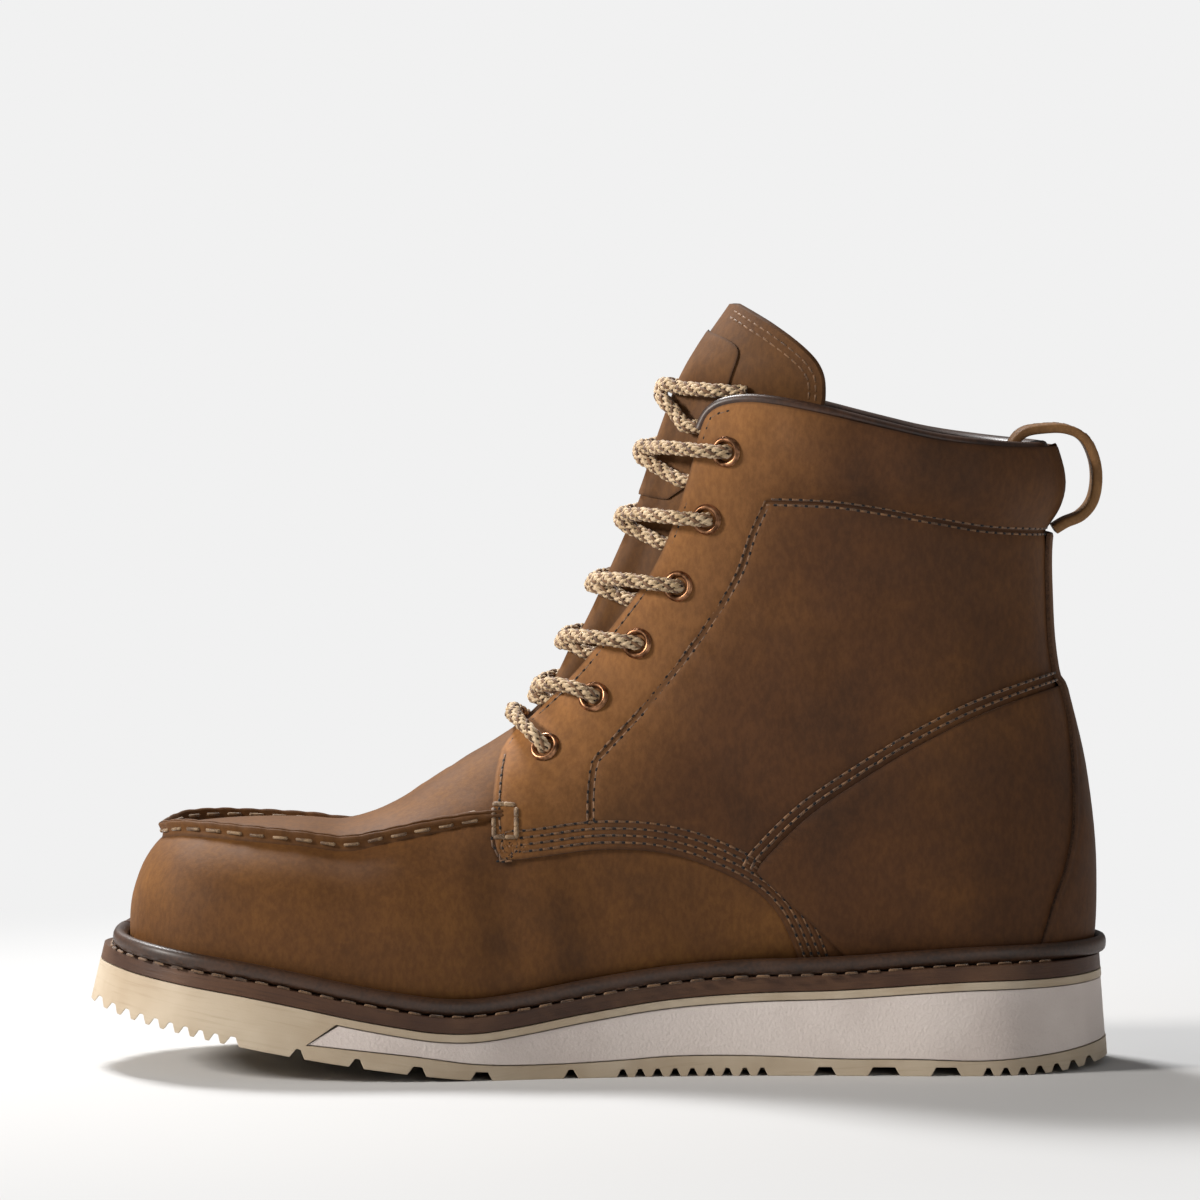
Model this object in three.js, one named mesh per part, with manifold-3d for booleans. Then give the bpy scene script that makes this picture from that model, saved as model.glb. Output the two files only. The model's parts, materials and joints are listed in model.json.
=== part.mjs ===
// Wedge sole work boot for the right foot. Millimetres, +Z up.
// The toe points along -X, the medial side along -Y, and the boot stands on the plane Z = 0.

import * as THREE from 'three';
import { mergeVertices } from 'three/addons/utils/BufferGeometryUtils.js';
import Module from 'manifold-3d';

const wasm = await Module();
wasm.setup();

// Driving dimensions of the sole
const SOLE_LENGTH = 308;
const SOLE_WIDTH = 111;
const HEEL_HEIGHT = 33.2;
const TOE_SPRING = 20;
const SPRING_START = -34;
const HEEL_BEVEL = 2.4;
const BEVEL_START = 125;
const TOE_SLOPE = 0.235;
const HEEL_SLOPE = 0.078;
const SIDE_SLOPE = 0.06;
const MIDSOLE_THICKNESS = 4.6;
const STRIP_THICKNESS = 2.3;
const TREAD_THICKNESS = 4.8;
const WEDGE_FRONT = -78;
const WEDGE_FRONT_LEAN = 9;

// Driving dimensions of the tread
const NOTCH_DEPTH = 2.4;
const NOTCH_MOUTH = 3;
const NOTCH_ROOT = 1.6;
const NOTCH_REACH = 13;
const LUG_GAP_DEPTH = 2.6;
const LUG_GAP_FLANK = 1;

// Driving dimensions of the last and the upper
const LAST_LENGTH = 287;
const LAST_SHIFT = 1.5;
const BALL_WIDTH = 98;
const TOE_HEIGHT = 43;
const SHAFT_HEIGHT = 154;
const WALL = 2.4;
const COLLAR_PADDING = 5;
const OVERLAY = 1.2;
const INSOLE_THICKNESS = 4;
const VAMP_END = -24;
const RIDGE_HEIGHT = 4;
const RIDGE_THICKNESS = 1.8;
const RIDGE_ROOT = 1.2;

// Driving dimensions of what is sewn and set on the upper
const BEAD_HEIGHT = 5;
const BEAD_WIDTH = 4.6;
const BEAD_WIDTH_HEEL = 3;
const TONGUE_THICKNESS = 3.4;
const TONGUE_RECESS = 3.4;
const TONGUE_RIDGE = 7;
const LABEL_THICKNESS = 0.6;
const BINDING_HEIGHT = 3.4;
const BINDING_WIDTH = 5.2;
const LOOP_WIDTH = 18;
const LOOP_THICKNESS = 2.7;
const EYELET_COUNT = 6;
const EYELET_PITCH = 20.2;
const EYELET_START = 11;
const EYELET_INSET = 9;
const EYELET_RADIUS = 4.65;
const EYELET_HOLE = 2.5;
const EYELET_HEIGHT = 1.2;
const EYELET_BARREL = 1;
const EYELET_DISH = 0.3;
const EYELET_TWIST = [0, 0.2, 0, 0.2, 0.1];
const LACE_DIAMETER = 4.6;
const CLEARANCE = 0.3;

// How finely the curved forms are cut into faces
const FORM_COLUMNS = 22;
const OUTLINE_POINTS = 46;
const BEAD_POINTS = 46;
const ROUND_SIDES = 5;
const EYELET_SIDES = 8;
const SEARCH_STEPS = 30;

// Sections of the last, from the toe tip to above the collar. Each is a slice from its top or front point
// to its low or back point. x is a share of LAST_LENGTH from the last's middle. A height above the seat is
// the sum of a share of TOE_HEIGHT and one of SHAFT_HEIGHT, and width is a share of BALL_WIDTH.
const LAST = table(
  ['topX', 'topToe', 'topShaft', 'lowX', 'lowToe', 'lowShaft', 'width', 'widest', 'topPower', 'lowPower', 'pinch'],
  [
    [-0.5, 0.17, 0, -0.5, 0.17, 0, 0, 0.5, 2.2, 2.2, 0],
    [-0.4985, 0.335, 0, -0.4985, 0.02, 0, 0.225, 0.5, 2.2, 2.4, 0],
    [-0.4935, 0.47, 0, -0.4935, -0.1, 0, 0.385, 0.52, 2.2, 2.8, 0],
    [-0.4835, 0.635, 0, -0.4835, -0.165, 0, 0.53, 0.55, 2.3, 3.2, 0],
    [-0.467, 0.79, 0, -0.467, -0.2, 0, 0.665, 0.58, 2.4, 3.5, 0],
    [-0.4425, 0.905, 0, -0.4425, -0.205, 0, 0.785, 0.6, 2.5, 3.6, 0],
    [-0.4095, 0.97, 0, -0.4095, -0.195, 0, 0.87, 0.62, 2.6, 3.6, 0],
    [-0.3675, 1.025, 0, -0.3675, -0.195, 0, 0.925, 0.63, 2.65, 3.6, 0],
    [-0.319, 1.085, 0, -0.319, -0.195, 0, 0.965, 0.63, 2.6, 3.6, 0],
    [-0.27, 1.15, 0, -0.27, -0.195, 0, 0.99, 0.64, 2.45, 3.6, 0],
    [-0.225, 1.325, 0, -0.225, -0.2, 0, 1, 0.66, 2.25, 3.6, 0.02],
    [-0.183, 1, 0.152, -0.183, -0.2, 0, 0.99, 0.69, 2.1, 3.5, 0.06],
    [-0.143, 1, 0.203, -0.143, -0.195, 0, 0.96, 0.71, 2.05, 3.5, 0.1],
    [-0.108, 1, 0.238, -0.068, -0.195, 0, 0.915, 0.72, 2.1, 3.4, 0.12],
    [-0.092, 1, 0.255, 0.0225, -0.2, 0, 0.86, 0.72, 2.15, 3.2, 0.13],
    [-0.0775, 1, 0.29, 0.127, -0.195, 0, 0.805, 0.7, 2.2, 3, 0.13],
    [-0.065, 1, 0.329, 0.2455, -0.19, 0, 0.76, 0.67, 2.25, 2.8, 0.12],
    [-0.0535, 1, 0.369, 0.371, -0.245, 0, 0.735, 0.64, 2.25, 2.55, 0.12],
    [-0.045, 1, 0.399, 0.4685, -0.285, 0, 0.72, 0.61, 2.25, 2.35, 0.12],
    [-0.033, 1, 0.431, 0.5, 0, 0.004, 0.71, 0.59, 2.25, 2.2, 0.12],
    [-0.02, 1, 0.475, 0.505, 0, 0.16, 0.695, 0.58, 2.25, 2.15, 0.12],
    [-0.0065, 1, 0.528, 0.4945, 0, 0.355, 0.665, 0.57, 2.25, 2.15, 0.12],
    [0.0075, 1, 0.582, 0.47, 0, 0.551, 0.655, 0.56, 2.25, 2.2, 0.12],
    [0.0225, 1, 0.644, 0.462, 0, 0.707, 0.685, 0.55, 2.25, 2.2, 0.1],
    [0.0345, 1, 0.701, 0.463, 0, 0.83, 0.715, 0.54, 2.25, 2.2, 0.08],
    [0.052, 1, 0.797, 0.4765, 0, 0.92, 0.785, 0.53, 2.2, 2.2, 0.06],
    [0.0715, 1, 0.888, 0.466, 0, 1.005, 0.765, 0.52, 2.2, 2.2, 0.04],
    [0.0925, 1, 0.954, 0.451, 0, 1.09, 0.735, 0.52, 2.2, 2.2, 0.02],
    [0.12, 1, 1.025, 0.434, 0, 1.175, 0.715, 0.52, 2.2, 2.2, 0],
    [0.148, 1, 1.096, 0.4165, 0, 1.26, 0.705, 0.52, 2.2, 2.2, 0],
  ],
);

// Plan outline of the sole at the floor and how far its middle sways to the lateral side
const SOLE_OUTLINE = table(['x', 'half'], [
  [-0.5, 0],
  [-0.487, 0.16],
  [-0.4545, 0.311],
  [-0.406, 0.415],
  [-0.341, 0.472],
  [-0.276, 0.495],
  [-0.211, 0.5],
  [-0.13, 0.484],
  [-0.0325, 0.436],
  [0.065, 0.398],
  [0.162, 0.38],
  [0.26, 0.378],
  [0.341, 0.378],
  [0.406, 0.352],
  [0.4545, 0.28],
  [0.487, 0.155],
  [0.5, 0],
]);
const SWAY = table(['x', 'y'], [
  [-0.5, -0.032],
  [-0.38, -0.023],
  [-0.22, -0.001],
  [-0.05, 0.027],
  [0.1, 0.037],
  [0.25, 0.029],
  [0.4, 0.015],
  [0.5, 0.011],
]);

// Height of the midsole's top over the floor, and the tread's thickness under the wedge
const SEAT = table(['x', 'height'], [
  [-0.52, 1.12],
  [-0.484, 1.105],
  [-0.438, 1.042],
  [-0.39, 0.973],
  [-0.341, 0.901],
  [-0.292, 0.813],
  [-0.244, 0.717],
  [-0.195, 0.63],
  [-0.156, 0.575],
  [-0.117, 0.566],
  [-0.071, 0.623],
  [-0.013, 0.72],
  [0.065, 0.828],
  [0.146, 0.883],
  [0.234, 0.91],
  [0.351, 0.982],
  [0.438, 1],
  [0.52, 1.012],
]);
const TREAD = table(['x', 'thickness'], [
  [-0.28, 2.3],
  [-0.18, 1.55],
  [-0.117, 0.98],
  [-0.055, 0.86],
  [0.02, 1.02],
  [0.07, 1.22],
  [0.14, 1.22],
  [0.23, 1.02],
  [0.305, 1],
  [0.373, 0.9],
  [0.438, 1.2],
  [0.52, 1.85],
]);

// Notches at the edge of the tread, and the gaps between its large lugs
const NOTCH_ROWS = table(['start', 'pitch', 'count', 'across'], [
  [-0.489, 0.0148, 9, 1],
  [0.022, 0.0169, 9, 0],
  [0.376, 0.0169, 7, 0],
]);
const LUG_GAPS = table(['x', 'width'], [
  [-0.354, 0.013],
  [-0.291, 0.013],
  [-0.234, 0.013],
  [-0.176, 0.017],
  [-0.114, 0.02],
  [-0.028, 0.013],
  [0.218, 0.021],
  [0.275, 0.03],
  [0.335, 0.028],
]);

// Lines on the side of the upper, placed as the last's sections are
const LINE = ['x', 'toe', 'shaft'];
const FACING = table(LINE, [
  [-0.108, 1, 0.21],
  [-0.097, 1, 0.234],
  [-0.069, 1, 0.276],
  [-0.022, 1, 0.355],
  [0.017, 1, 0.437],
  [0.045, 1, 0.502],
  [0.066, 1, 0.574],
  [0.089, 1, 0.697],
  [0.1, 1, 0.778],
  [0.11, 1, 0.817],
  [0.132, 1, 0.832],
]);
const COLLAR = table(LINE, [
  [0.166, 1, 0.83],
  [0.221, 1, 0.809],
  [0.287, 1, 0.773],
  [0.341, 1, 0.743],
  [0.394, 1, 0.725],
  [0.457, 1, 0.715],
  [0.56, 1, 0.71],
]);
const QUARTER_FRONT = table(LINE, [
  [-0.1055, 1, 0.222],
  [-0.113, 1, 0.17],
  [-0.116, 1, 0.105],
  [-0.114, 1, 0.048],
  [-0.098, 1.04, 0],
  [-0.066, 1.02, 0],
  [-0.013, 1, 0],
  [0.04, 0.94, 0],
  [0.08, 0.86, 0],
  [0.114, 0.76, 0],
  [0.146, 0.64, 0],
]);
const QUARTER_TAIL = table(LINE, [
  [0.146, 0.64, 0],
  [0.168, 0.52, 0],
  [0.186, 0.35, 0],
  [0.207, 0, 0],
  [0.215, -0.3, 0],
]);
const COUNTER_TOP = table(LINE, [
  [0.167, 0.82, 0],
  [0.213, 1.11, 0],
  [0.265, 1, 0.094],
  [0.326, 1, 0.154],
  [0.389, 1, 0.204],
  [0.464, 1, 0.244],
  [0.56, 1, 0.258],
]);
const BACKSTAY_FRONT = table(LINE, [
  [0.463, 1, 0.548],
  [0.461, 1, 0.42],
  [0.463, 1, 0.31],
  [0.473, 1, 0.225],
  [0.481, 1, 0.102],
  [0.482, 0.95, 0],
  [0.475, 0.65, 0],
  [0.462, 0.39, 0],
  [0.44, -0.1, 0],
]);
const TONGUE_EDGE = table(LINE, [
  [0.133, 1, 1.034],
  [0.171, 1, 0.986],
  [0.203, 1, 0.94],
  [0.22, 1, 0.905],
  [0.226, 1, 0.867],
  [0.221, 1, 0.805],
  [0.197, 1, 0.71],
  [0.162, 1, 0.582],
  [0.113, 1, 0.451],
  [0.057, 1, 0.33],
  [0.002, 1, 0.248],
  [-0.047, 1, 0.198],
  [-0.096, 1, 0.148],
  [-0.131, 1, 0.118],
]);
const LABEL_EDGE = table(LINE, [
  [0.098, 1, 0.985],
  [0.134, 1, 0.94],
  [0.118, 1, 0.865],
  [0.101, 1, 0.78],
  [0.087, 1, 0.7],
  [0.052, 1, 0.66],
]);

// Plan line of the moccasin seam from its tip backwards: x is a share of LAST_LENGTH from the last's
// middle, and half, the distance from the foot's middle line, one of BALL_WIDTH
const MOC_SEAM = table(['x', 'half'], [
  [-0.4606, 0],
  [-0.4575, 0.065],
  [-0.4477, 0.13],
  [-0.4303, 0.187],
  [-0.4094, 0.226],
  [-0.378, 0.268],
  [-0.3362, 0.298],
  [-0.284, 0.313],
  [-0.2352, 0.323],
  [-0.1864, 0.337],
  [-0.1446, 0.349],
  [-0.1132, 0.356],
]);

// Middle line of the pull loop, from inside the collar over its edge and down to the collar's seam.
// x is a share of LAST_LENGTH from the last's middle, and z a share of LOOP_RISE above the loop's foot.
const LOOP_RISE = 31;
const PULL_LOOP = table(['x', 'z'], [
  [0.427, 0.62],
  [0.428, 0.82],
  [0.439, 0.955],
  [0.462, 1],
  [0.484, 0.995],
  [0.503, 0.91],
  [0.514, 0.72],
  [0.517, 0.49],
  [0.512, 0.28],
  [0.5, 0.15],
  [0.484, 0.085],
  [0.4725, 0.02],
]);

// Tables and interpolation
function table(columns, rows) {
  return rows.map((row) => Object.fromEntries(columns.map((column, i) => [column, row[i]])));
}

function clamp(value, low, high) {
  return Math.min(high, Math.max(low, value));
}

function smoothstep(from, to, value) {
  const s = clamp((value - from) / (to - from), 0, 1);
  return s * s * (3 - 2 * s);
}

function catmull(a, b, c, d, s) {
  const slopeB = (c - a) / 2;
  const slopeC = (d - b) / 2;
  const cubic = 2 * b - 2 * c + slopeB + slopeC;
  const square = 3 * c - 3 * b - 2 * slopeB - slopeC;
  return ((cubic * s + square) * s + slopeB) * s + b;
}

// Value of a column at x, on a smooth curve through the table's rows
function lookUp(rows, column, x) {
  let i = 0;
  while (i < rows.length - 2 && x > rows[i + 1].x) i += 1;
  const [a, b, c, d] = [i - 1, i, i + 1, i + 2].map((k) => rows[clamp(k, 0, rows.length - 1)]);
  const s = clamp((x - b.x) / (c.x - b.x), 0, 1);
  const slopeB = ((c[column] - a[column]) / (c.x - a.x || 1)) * (c.x - b.x);
  const slopeC = ((d[column] - b[column]) / (d.x - b.x || 1)) * (c.x - b.x);
  const cubic = 2 * b[column] - 2 * c[column] + slopeB + slopeC;
  const square = 3 * c[column] - 3 * b[column] - 2 * slopeB - slopeC;
  return ((cubic * s + square) * s + slopeB) * s + b[column];
}

// Height functions run straight from one knot to the next, so that the pieces on them fit each other
const KNOT = SOLE_LENGTH / 30;

function faceted(height) {
  return (x) => {
    const knot = Math.floor(x / KNOT);
    const s = x / KNOT - knot;
    return height(knot * KNOT) * (1 - s) + height((knot + 1) * KNOT) * s;
  };
}

const seatHeight = faceted((x) => HEEL_HEIGHT * lookUp(SEAT, 'height', x / SOLE_LENGTH));

// The middle of the sole and of the foot sways sideways, and the shaft stands straight above it
function sway(x, z) {
  const fade = 1 - smoothstep(seatHeight(0) + TOE_HEIGHT / 2, seatHeight(0) + 2 * TOE_HEIGHT, z);
  return SOLE_WIDTH * lookUp(SWAY, 'y', x / SOLE_LENGTH) * fade;
}

function lastX(share) {
  return LAST_SHIFT + share * LAST_LENGTH;
}

function lastHeight(x, toe, shaft) {
  return seatHeight(x) + toe * TOE_HEIGHT + shaft * SHAFT_HEIGHT;
}

function sidePoints(rows) {
  return rows.map((row) => {
    const x = lastX(row.x);
    return new THREE.Vector2(x, lastHeight(x, row.toe, row.shaft));
  });
}

// A smooth line through a table's points, as seen from the side
function sideLine(rows, steps) {
  return new THREE.SplineCurve(sidePoints(rows)).getPoints(steps);
}

// The last as a surface: t runs through its sections and the angle goes round each of them
const LAST_ROWS = LAST.map((row) => {
  const topX = lastX(row.topX);
  const lowX = lastX(row.lowX);
  return {
    topX,
    topZ: lastHeight(topX, row.topToe, row.topShaft),
    lowX,
    lowZ: lastHeight(lowX, row.lowToe, row.lowShaft),
    half: (row.width * BALL_WIDTH) / 2,
    widest: row.widest,
    topPower: row.topPower,
    lowPower: row.lowPower,
    pinch: row.pinch,
  };
});
const LAST_END = LAST_ROWS.length - 1;

function lastRow(t) {
  const i = clamp(Math.floor(t), 0, LAST_END - 1);
  const rows = [i - 1, i, i + 1, i + 2].map((k) => LAST_ROWS[clamp(k, 0, LAST_END)]);
  const row = {};
  for (const key of Object.keys(rows[0])) {
    row[key] = catmull(rows[0][key], rows[1][key], rows[2][key], rows[3][key], t - i);
  }
  return row;
}

function bareSurface(t, angle) {
  const row = lastRow(t);
  const cos = Math.cos(angle);
  const sin = Math.sin(angle);
  const front = cos >= 0;
  const power = front ? row.topPower : row.lowPower;
  const along = Math.abs(cos) ** (2 / power);
  const u = front ? row.widest * (1 - along) : row.widest + (1 - row.widest) * along;
  const narrow = front ? 1 - row.pinch * cos * cos : 1;
  const half = row.half * Math.abs(sin) ** (2 / power) * narrow * Math.sign(sin);
  const x = row.topX + (row.lowX - row.topX) * u;
  const z = row.topZ + (row.lowZ - row.topZ) * u;
  return { point: new THREE.Vector3(x, half + sway(x, z), z), u, half: Math.abs(half), row };
}

function surfaceNormal(t, angle) {
  if (t < 0.01) return new THREE.Vector3(-1, 0, 0);
  const round = 0.02;
  const along = 0.04;
  const ahead = bareSurface(Math.max(t - along, 0.005), angle).point;
  const behind = bareSurface(Math.min(t + along, LAST_END), angle).point;
  const left = bareSurface(t, angle - round).point;
  const right = bareSurface(t, angle + round).point;
  const normal = right.sub(left).cross(behind.sub(ahead)).normalize();
  const { point, row } = bareSurface(t, angle);
  const middleX = row.topX + (row.lowX - row.topX) * row.widest;
  const middleZ = row.topZ + (row.lowZ - row.topZ) * row.widest;
  const outward = point.clone().sub(new THREE.Vector3(middleX, sway(middleX, middleZ), middleZ));
  return normal.dot(outward) < 0 ? normal.negate() : normal;
}

function surface(t, angle, offset) {
  const bare = bareSurface(t, angle);
  const normal = surfaceNormal(t, angle);
  return bare.point.addScaledVector(normal, offset);
}

// Where a point seen from the side lies on the last: its section and the angle on the near side
function locate(x, z) {
  const ahead = (t) => {
    const row = lastRow(t);
    return (row.lowX - row.topX) * (z - row.topZ) - (row.lowZ - row.topZ) * (x - row.topX);
  };
  let low = 0.05;
  let high = low;
  while (high < LAST_END && ahead(high) > 0) {
    low = high;
    high = Math.min(LAST_END, high + 0.25);
  }
  for (let i = 0; i < SEARCH_STEPS; i += 1) {
    const middle = (low + high) / 2;
    if (ahead(middle) > 0) low = middle;
    else high = middle;
  }
  const row = lastRow(low);
  const lineX = row.lowX - row.topX;
  const lineZ = row.lowZ - row.topZ;
  const u = clamp(((x - row.topX) * lineX + (z - row.topZ) * lineZ) / (lineX ** 2 + lineZ ** 2), 0, 1);
  const front = u < row.widest;
  const share = front ? 1 - u / row.widest : (u - row.widest) / (1 - row.widest);
  const cos = front ? share ** (row.topPower / 2) : -(share ** (row.lowPower / 2));
  return { t: low, angle: Math.acos(clamp(cos, -1, 1)) };
}

// Where a point seen from above lies on the front of the last, from its distance to the middle line
function planPlace(x, half) {
  let [low, high] = [0.05, LAST_END / 2];
  for (let i = 0; i < SEARCH_STEPS; i += 1) {
    const middle = (low + high) / 2;
    if (lastRow(middle).topX < x) low = middle;
    else high = middle;
  }
  const row = lastRow(low);
  return { t: low, angle: Math.asin(clamp(half / row.half, 0, 1) ** (row.topPower / 2)) };
}

// Solids, geometries and meshes
function toSolid(geometry) {
  const bare = geometry.index ? geometry.clone() : geometry;
  bare.deleteAttribute('normal');
  bare.deleteAttribute('uv');
  const merged = mergeVertices(bare, 1e-4);
  return new wasm.Manifold(new wasm.Mesh({
    numProp: 3,
    vertProperties: new Float32Array(merged.attributes.position.array),
    triVerts: new Uint32Array(merged.index.array),
  }));
}

function toGeometry(solid) {
  const mesh = solid.getMesh();
  const geometry = new THREE.BufferGeometry();
  geometry.setAttribute('position', new THREE.Float32BufferAttribute(mesh.vertProperties, 3));
  geometry.setIndex(Array.from(mesh.triVerts));
  return geometry;
}

// Skin over rings of equal length. An end is closed by triangles over its ring, or from one point.
function loft(rings, closed = false) {
  const size = rings[0].length;
  const positions = rings.flat().flatMap((point) => point.toArray());
  const triangles = [];
  const last = closed ? rings.length : rings.length - 1;
  for (let ring = 0; ring < last; ring += 1) {
    const next = (ring + 1) % rings.length;
    for (let i = 0; i < size; i += 1) {
      const j = (i + 1) % size;
      const [a, b, c, d] = [ring * size + i, ring * size + j, next * size + j, next * size + i];
      triangles.push(a, b, c, a, c, d);
    }
  }
  if (!closed) {
    [0, rings.length - 1].forEach((ring) => {
      const centre = rings[ring].reduce((sum, point) => sum.add(point), new THREE.Vector3()).divideScalar(size);
      const middle = positions.length / 3;
      positions.push(...centre.toArray());
      for (let i = 0; i < size; i += 1) {
        const j = (i + 1) % size;
        const [a, b] = [ring * size + i, ring * size + j];
        if (ring === 0) triangles.push(middle, b, a);
        else triangles.push(middle, a, b);
      }
    });
  }
  const geometry = new THREE.BufferGeometry();
  geometry.setAttribute('position', new THREE.Float32BufferAttribute(positions, 3));
  geometry.setIndex(triangles);
  return outwards(geometry);
}

// Turns every face round if the solid is inside out
function outwards(geometry) {
  const { array } = geometry.attributes.position;
  const index = geometry.index.array;
  let volume = 0;
  for (let i = 0; i < index.length; i += 3) {
    const [a, b, c] = [0, 1, 2].map((k) => new THREE.Vector3().fromArray(array, index[i + k] * 3));
    volume += a.dot(b.cross(c));
  }
  if (volume < 0) {
    for (let i = 0; i < index.length; i += 3) {
      [index[i], index[i + 1]] = [index[i + 1], index[i]];
    }
  }
  return geometry;
}

// A side view outline drawn out across the boot
function acrossPrism(points, from = -SOLE_WIDTH, to = SOLE_WIDTH) {
  const shape = new THREE.Shape(points);
  const geometry = new THREE.ExtrudeGeometry(shape, { depth: to - from, bevelEnabled: false });
  geometry.rotateX(Math.PI / 2);
  geometry.translate(0, to, 0);
  return toSolid(geometry);
}

const FAR = 2 * SOLE_LENGTH;
const HIGH = 2 * SHAFT_HEIGHT;

function corner(x, z) {
  return new THREE.Vector2(x, z);
}

// The last grown or shrunk by an offset that may change over it, as a closed solid
function form(offset) {
  const rings = [];
  for (let k = 1; k <= LAST_END; k += 1) {
    const ring = [];
    for (let i = 0; i < FORM_COLUMNS; i += 1) {
      const angle = (2 * Math.PI * (i + 0.5)) / FORM_COLUMNS - Math.PI;
      const { u, half, point } = bareSurface(k, angle);
      ring.push(surface(k, angle, offset({ t: k, u, half, x: point.x, z: point.z })));
    }
    rings.push(ring);
  }
  const toe = surface(0, 0, offset({ t: 0, u: 0, half: 0, x: LAST_ROWS[0].topX, z: LAST_ROWS[0].topZ }));
  rings.unshift(rings[0].map((point) => point.clone().lerp(toe, 0.98)));
  return toSolid(loft(rings));
}

// Everything below a height that follows the seat
function underSeat(rise) {
  const half = SOLE_LENGTH / 2 + LAST_SHIFT + BEAD_WIDTH;
  return acrossPrism([
    ...profile((x) => seatHeight(x) + rise, -half, half),
    corner(half, -HEEL_HEIGHT),
    corner(-half, -HEEL_HEIGHT),
  ]);
}

// Sole
function soleOutline(z) {
  const near = SOLE_OUTLINE.map((row) => new THREE.Vector3(row.x * SOLE_LENGTH, -row.half * SOLE_WIDTH, 0));
  const far = SOLE_OUTLINE.slice(1, -1).reverse().map(
    (row) => new THREE.Vector3(row.x * SOLE_LENGTH, row.half * SOLE_WIDTH, 0),
  );
  const curve = new THREE.CatmullRomCurve3([...near, ...far], true, 'centripetal');
  return curve.getSpacedPoints(OUTLINE_POINTS).slice(0, -1).map((point) => {
    const share = point.x / (SOLE_LENGTH / 2);
    const toeShift = share < 0 ? TOE_SLOPE * (z - TOE_SPRING) * Math.abs(share) ** 3 : 0;
    const heelShift = share > 0 ? -HEEL_SLOPE * (z - HEEL_BEVEL) * share ** 3 : 0;
    const half = point.y * (1 - (2 * SIDE_SLOPE * z) / SOLE_WIDTH);
    return new THREE.Vector3(point.x + toeShift + heelShift, half + sway(point.x, 0), z);
  });
}

function solePrism() {
  return toSolid(loft([soleOutline(-NOTCH_DEPTH), soleOutline(HEEL_HEIGHT + TOE_SPRING)]));
}

function soleHalf(x) {
  return SOLE_WIDTH * lookUp(SOLE_OUTLINE, 'half', x / SOLE_LENGTH);
}

function groundHeight(x) {
  const toe = SPRING_START - x;
  const toeRun = SPRING_START + SOLE_LENGTH / 2;
  if (toe > 0) return TOE_SPRING * (toe / toeRun) ** 1.3;
  const heel = x - BEVEL_START;
  return heel > 0 ? HEEL_BEVEL * (heel / (SOLE_LENGTH / 2 - BEVEL_START)) ** 1.6 : 0;
}

const stripTop = (x) => seatHeight(x) - MIDSOLE_THICKNESS - CLEARANCE;
const wedgeTop = (x) => stripTop(x) - STRIP_THICKNESS - CLEARANCE;
const treadTop = faceted((x) => TREAD_THICKNESS * lookUp(TREAD, 'thickness', x / SOLE_LENGTH));

// Points of a height function from one x to another: its two ends and the knots between them
function profile(height, from, to) {
  const knots = [];
  for (let k = Math.ceil(Math.min(from, to) / KNOT); k * KNOT < Math.max(from, to); k += 1) {
    if (Math.min(Math.abs(k * KNOT - from), Math.abs(k * KNOT - to)) > KNOT / 20) knots.push(k * KNOT);
  }
  if (to < from) knots.reverse();
  return [from, ...knots, to].map((x) => corner(x, height(x)));
}

const SOLE_END = SOLE_LENGTH / 2 + 2;
const WEDGE_FOOT = WEDGE_FRONT + WEDGE_FRONT_LEAN;

function outsole() {
  const outline = [
    ...profile(groundHeight, -SOLE_LENGTH / 2, SPRING_START),
    ...profile(groundHeight, BEVEL_START, SOLE_END),
    ...profile(treadTop, SOLE_END, WEDGE_FOOT),
    ...profile((x) => stripTop(x) - STRIP_THICKNESS, WEDGE_FRONT, SOLE_END),
    ...profile(stripTop, SOLE_END, -SOLE_LENGTH / 2),
  ];
  let solid = acrossPrism(outline).intersect(solePrism());
  for (const cutter of treadCutters()) solid = solid.subtract(cutter);
  return solid;
}

function treadCut(x, mouth, root, depth, from, to) {
  const floor = groundHeight(x);
  const slope = (groundHeight(x + 1) - groundHeight(x - 1)) / 2;
  const at = (dx, dz) => corner(x + dx - slope * dz, floor + dz + slope * dx);
  return acrossPrism([
    at(-mouth / 2 - 1, -2),
    at(mouth / 2 + 1, -2),
    at(mouth / 2, 0),
    at(root / 2, depth),
    at(-root / 2, depth),
    at(-mouth / 2, 0),
  ], from, to);
}

function treadCutters() {
  const cutters = [];
  for (const row of NOTCH_ROWS) {
    for (let i = 0; i < row.count; i += 1) {
      const x = (row.start + row.pitch * i) * SOLE_LENGTH;
      const inner = soleHalf(x) - NOTCH_REACH;
      if (row.across) {
        cutters.push(treadCut(x, NOTCH_MOUTH, NOTCH_ROOT, NOTCH_DEPTH));
      } else {
        const middle = sway(x, 0);
        cutters.push(treadCut(x, NOTCH_MOUTH, NOTCH_ROOT, NOTCH_DEPTH, -SOLE_WIDTH, middle - inner));
        cutters.push(treadCut(x, NOTCH_MOUTH, NOTCH_ROOT, NOTCH_DEPTH, middle + inner, SOLE_WIDTH));
      }
    }
  }
  for (const gap of LUG_GAPS) {
    const mouth = gap.width * SOLE_LENGTH;
    cutters.push(treadCut(gap.x * SOLE_LENGTH, mouth, mouth - 2 * LUG_GAP_FLANK, LUG_GAP_DEPTH));
  }
  return cutters;
}

function wedge() {
  const bottom = (x) => treadTop(x) + CLEARANCE;
  const outline = [
    ...profile(bottom, WEDGE_FOOT + 2 * CLEARANCE, SOLE_END),
    ...profile(wedgeTop, SOLE_END, WEDGE_FRONT + 2 * CLEARANCE),
  ];
  return acrossPrism(outline).intersect(solePrism());
}

function midsole() {
  const outline = [
    ...profile((x) => seatHeight(x) - MIDSOLE_THICKNESS, -SOLE_END, SOLE_END),
    ...profile(seatHeight, SOLE_END, -SOLE_END),
  ];
  return acrossPrism(outline).intersect(solePrism());
}

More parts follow.
